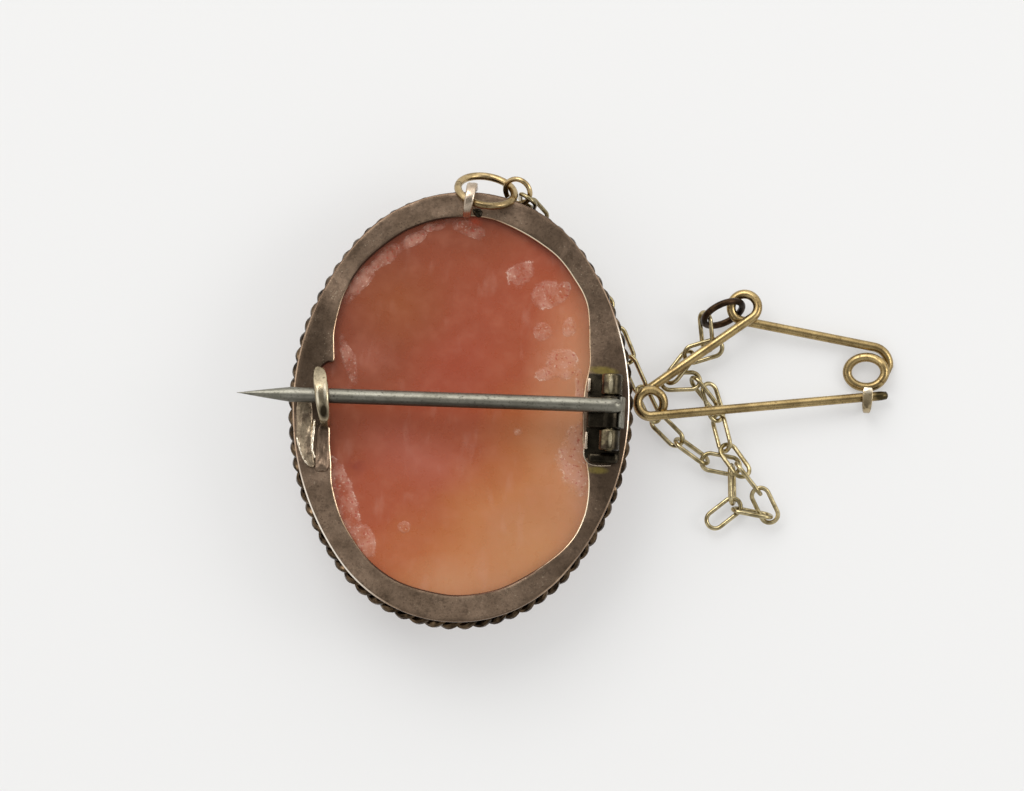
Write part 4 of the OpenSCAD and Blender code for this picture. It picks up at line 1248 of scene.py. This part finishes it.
# A jump ring bent from wire, with its cut ends almost closed
def makeRing(name, look):
    shape = bmesh.new()
    made = bmesh.ops.create_circle(shape, cap_ends=True, segments=20, radius=look["wire"] / 2)["verts"]
    bmesh.ops.rotate(shape, cent=(0, 0, 0), matrix=Matrix.Rotation(math.pi / 2, 3, "X"), verts=made)
    radius = (look["outer"] - look["wire"]) / 2
    bmesh.ops.translate(shape, vec=(radius, 0, 0), verts=made)
    gap = ringGap / radius
    first = Matrix.Rotation(math.radians(look["cut"]) + gap / 2, 3, "Z")
    bmesh.ops.rotate(shape, cent=(0, 0, 0), matrix=first, verts=made)
    bmesh.ops.spin(
        shape, geom=list(shape.faces), cent=(0, 0, 0), axis=(0, 0, 1), angle=2 * math.pi - gap, steps=96)
    bmesh.ops.recalc_face_normals(shape, faces=shape.faces)
    turned = Matrix.Rotation(math.radians(look["turn"]), 4, "Z")
    leaning = Matrix.Rotation(math.radians(look["lean"]), 4, "X")
    bmesh.ops.transform(shape, matrix=Matrix.Translation(look["at"]) @ turned @ leaning, verts=shape.verts)
    keepPiece(shape, name, look["node"], look["finish"], sharp=50)


for name, look in rings.items():
    makeRing(name, look)
print("rings")


# chain: its links are the frame's own, with a better finish

for name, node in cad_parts.items():
    if name.startswith("link_"):
        node.data.materials.clear()
        node.data.materials.append(finishes["chainBrass"])
        node.data.polygons.foreach_set("use_smooth", [True] * len(node.data.polygons))
print("chain")


# safety pin

safetyPin = {
    "wire": 0.375,
    "springAt": (15.2, 1.65), "springRadius": 1.06, "springHigh": 2.7, "springLow": 1.85,
    "eyeAt": (22.4, 9.9), "eyeRadius": 1.07, "eyeHigh": 2.25, "eyeLow": 1.35,
    "bendAt": (32.95, 5.89), "bendRadius": 1.45, "bendHigh": 0.75, "bendStep": 0.04,
    "loopAt": (32.55, 5.25), "loopRadius": 1.5, "loopSquash": 0.8, "loopRise": 0.92, "loopStep": 9,
    "diagonal": 34.1, "arm": -7.9,  # headings of the two straight runs beside the eye
    "tip": (34.4, 3.45, 0.85), "point": 2.2, "tipShare": 0.4, "tipNext": 0.85,
    "catchX": 32.72, "catchWide": 0.82, "catchThick": 0.3, "catchOver": 0.22, "catchLow": 0.03,
    # the catch, from its upper leaf at height 1 round to its lower at 0: place beside the needle, height,
    # share of the width, millimetres added to the height
    "catch": [
        (0.42, 1, 0.8, -0.04), (0.1, 1, 1, 0), (-0.3, 1, 1, 0), (-0.8, 1, 0.92, 0), (-1.05, 0.75, 0.82, 0.3),
        (-1.22, 0.75, 0.7, 0), (-1.26, 0.5, 0.6, 0), (-1.22, 0.25, 0.6, 0), (-1.05, 0.25, 0.7, -0.3),
        (-0.8, 0, 0.8, 0), (-0.1, 0, 0.8, 0),
    ],
}


def loopPoint(at, radius, turn, height, squash=1):
    turn = math.radians(turn)
    return Vector((at[0] + radius * math.cos(turn), at[1] + radius * squash * math.sin(turn), height))


# From low to high while the share goes from first to last
def ease(share, first, last, low, high):
    return low + (high - low) * min(1, max(0, (share - first) / (last - first)))


# The wire's route from the spring by the eye and the bend to the end of the loop
def safetyPinRoute(look, heading):
    springIn, springOut = heading + 90, look["diagonal"] + 90 - 360
    single = (springIn - springOut - 360) / (springIn - springOut)  # how far the wire lies single
    eyeIn, eyeOut = look["diagonal"] - 90, look["arm"] + 270
    route = []
    for i in range(57):
        share = i / 56
        turn = springIn + (springOut - springIn) * share
        high = ease(share, single, 1 - single, look["springHigh"], look["springLow"])
        route.append(loopPoint(look["springAt"], look["springRadius"], turn, high))
    for i in range(41):
        share = i / 40
        high = look["eyeHigh"] + (look["eyeLow"] - look["eyeHigh"]) * share
        route.append(loopPoint(look["eyeAt"], look["eyeRadius"], eyeIn + (eyeOut - eyeIn) * share, high))
    for i in range(9):
        turn, high = (look["arm"] + 90) * (1 - i / 8), look["bendHigh"] - look["bendStep"] * i
        route.append(loopPoint(look["bendAt"], look["bendRadius"], turn, high))
    for i in range(2, 45):
        turn = look["loopStep"] * i
        high = ease(turn, 180, 330, look["wire"], look["wire"] + look["loopRise"])
        route.append(loopPoint(look["loopAt"], look["loopRadius"], -turn, high, look["loopSquash"]))
    return route


def makeSafetyPinWire(look):
    tip = Vector(look["tip"])
    toLoop = Vector(look["springAt"]) - tip.xy
    heading = math.atan2(toLoop.y, toLoop.x) + math.asin(look["springRadius"] / toLoop.length)
    route = safetyPinRoute(look, math.degrees(heading) + 360)
    toTip = (tip - route[0]).normalized()
    needle = [route[0] + toTip * step for step in (3, 7, 11, 15)]
    needle += [tip - toTip * look["point"] * (1 - t) for t in (0, 0.25, 0.5, 0.75, 0.95, 1)]
    points = needle[::-1] + route
    shares = [look["tipShare"], look["tipNext"]] + [1] * (len(points) - 2)
    shape = bmesh.new()
    addWire(shape, points, look["wire"], shares=shares, sides=6)
    keepPiece(shape, "safetyPinWire", "safety_pin", "pinBrass", sharp=50)


def makeSafetyPinCatch(look):
    shape = bmesh.new()
    _, y, z = look["tip"]
    thick, rows = look["catchThick"], len(look["catch"]) - 1
    low, high = thick / 2 + 0.02, z + look["wire"] + look["catchOver"] + thick / 2
    for vert in bmesh.ops.create_grid(shape, x_segments=2, y_segments=rows, size=0.5)["verts"]:
        along, share, wide, more = look["catch"][round((vert.co.y + 0.5) * rows)]
        x = look["catchX"] + vert.co.x * look["catchWide"] * wide
        vert.co = (x, y + along, low + (high - low) * share + more)
    bmesh.ops.recalc_face_normals(shape, faces=shape.faces)
    bmesh.ops.solidify(shape, geom=list(shape.faces), thickness=thick)
    bmesh.ops.recalc_face_normals(shape, faces=shape.faces)
    roundEdges(shape, sharpEdges(shape.edges, 50), 0.05, 2)
    lowest = min(vert.co.z for vert in shape.verts)
    bmesh.ops.translate(shape, vec=(0, 0, look["catchLow"] - lowest), verts=shape.verts)
    keepPiece(shape, "safetyPinCatch", "safety_pin", "catchPale", sharp=45)


makeSafetyPinWire(safetyPin)
makeSafetyPinCatch(safetyPin)
print("safety pin")
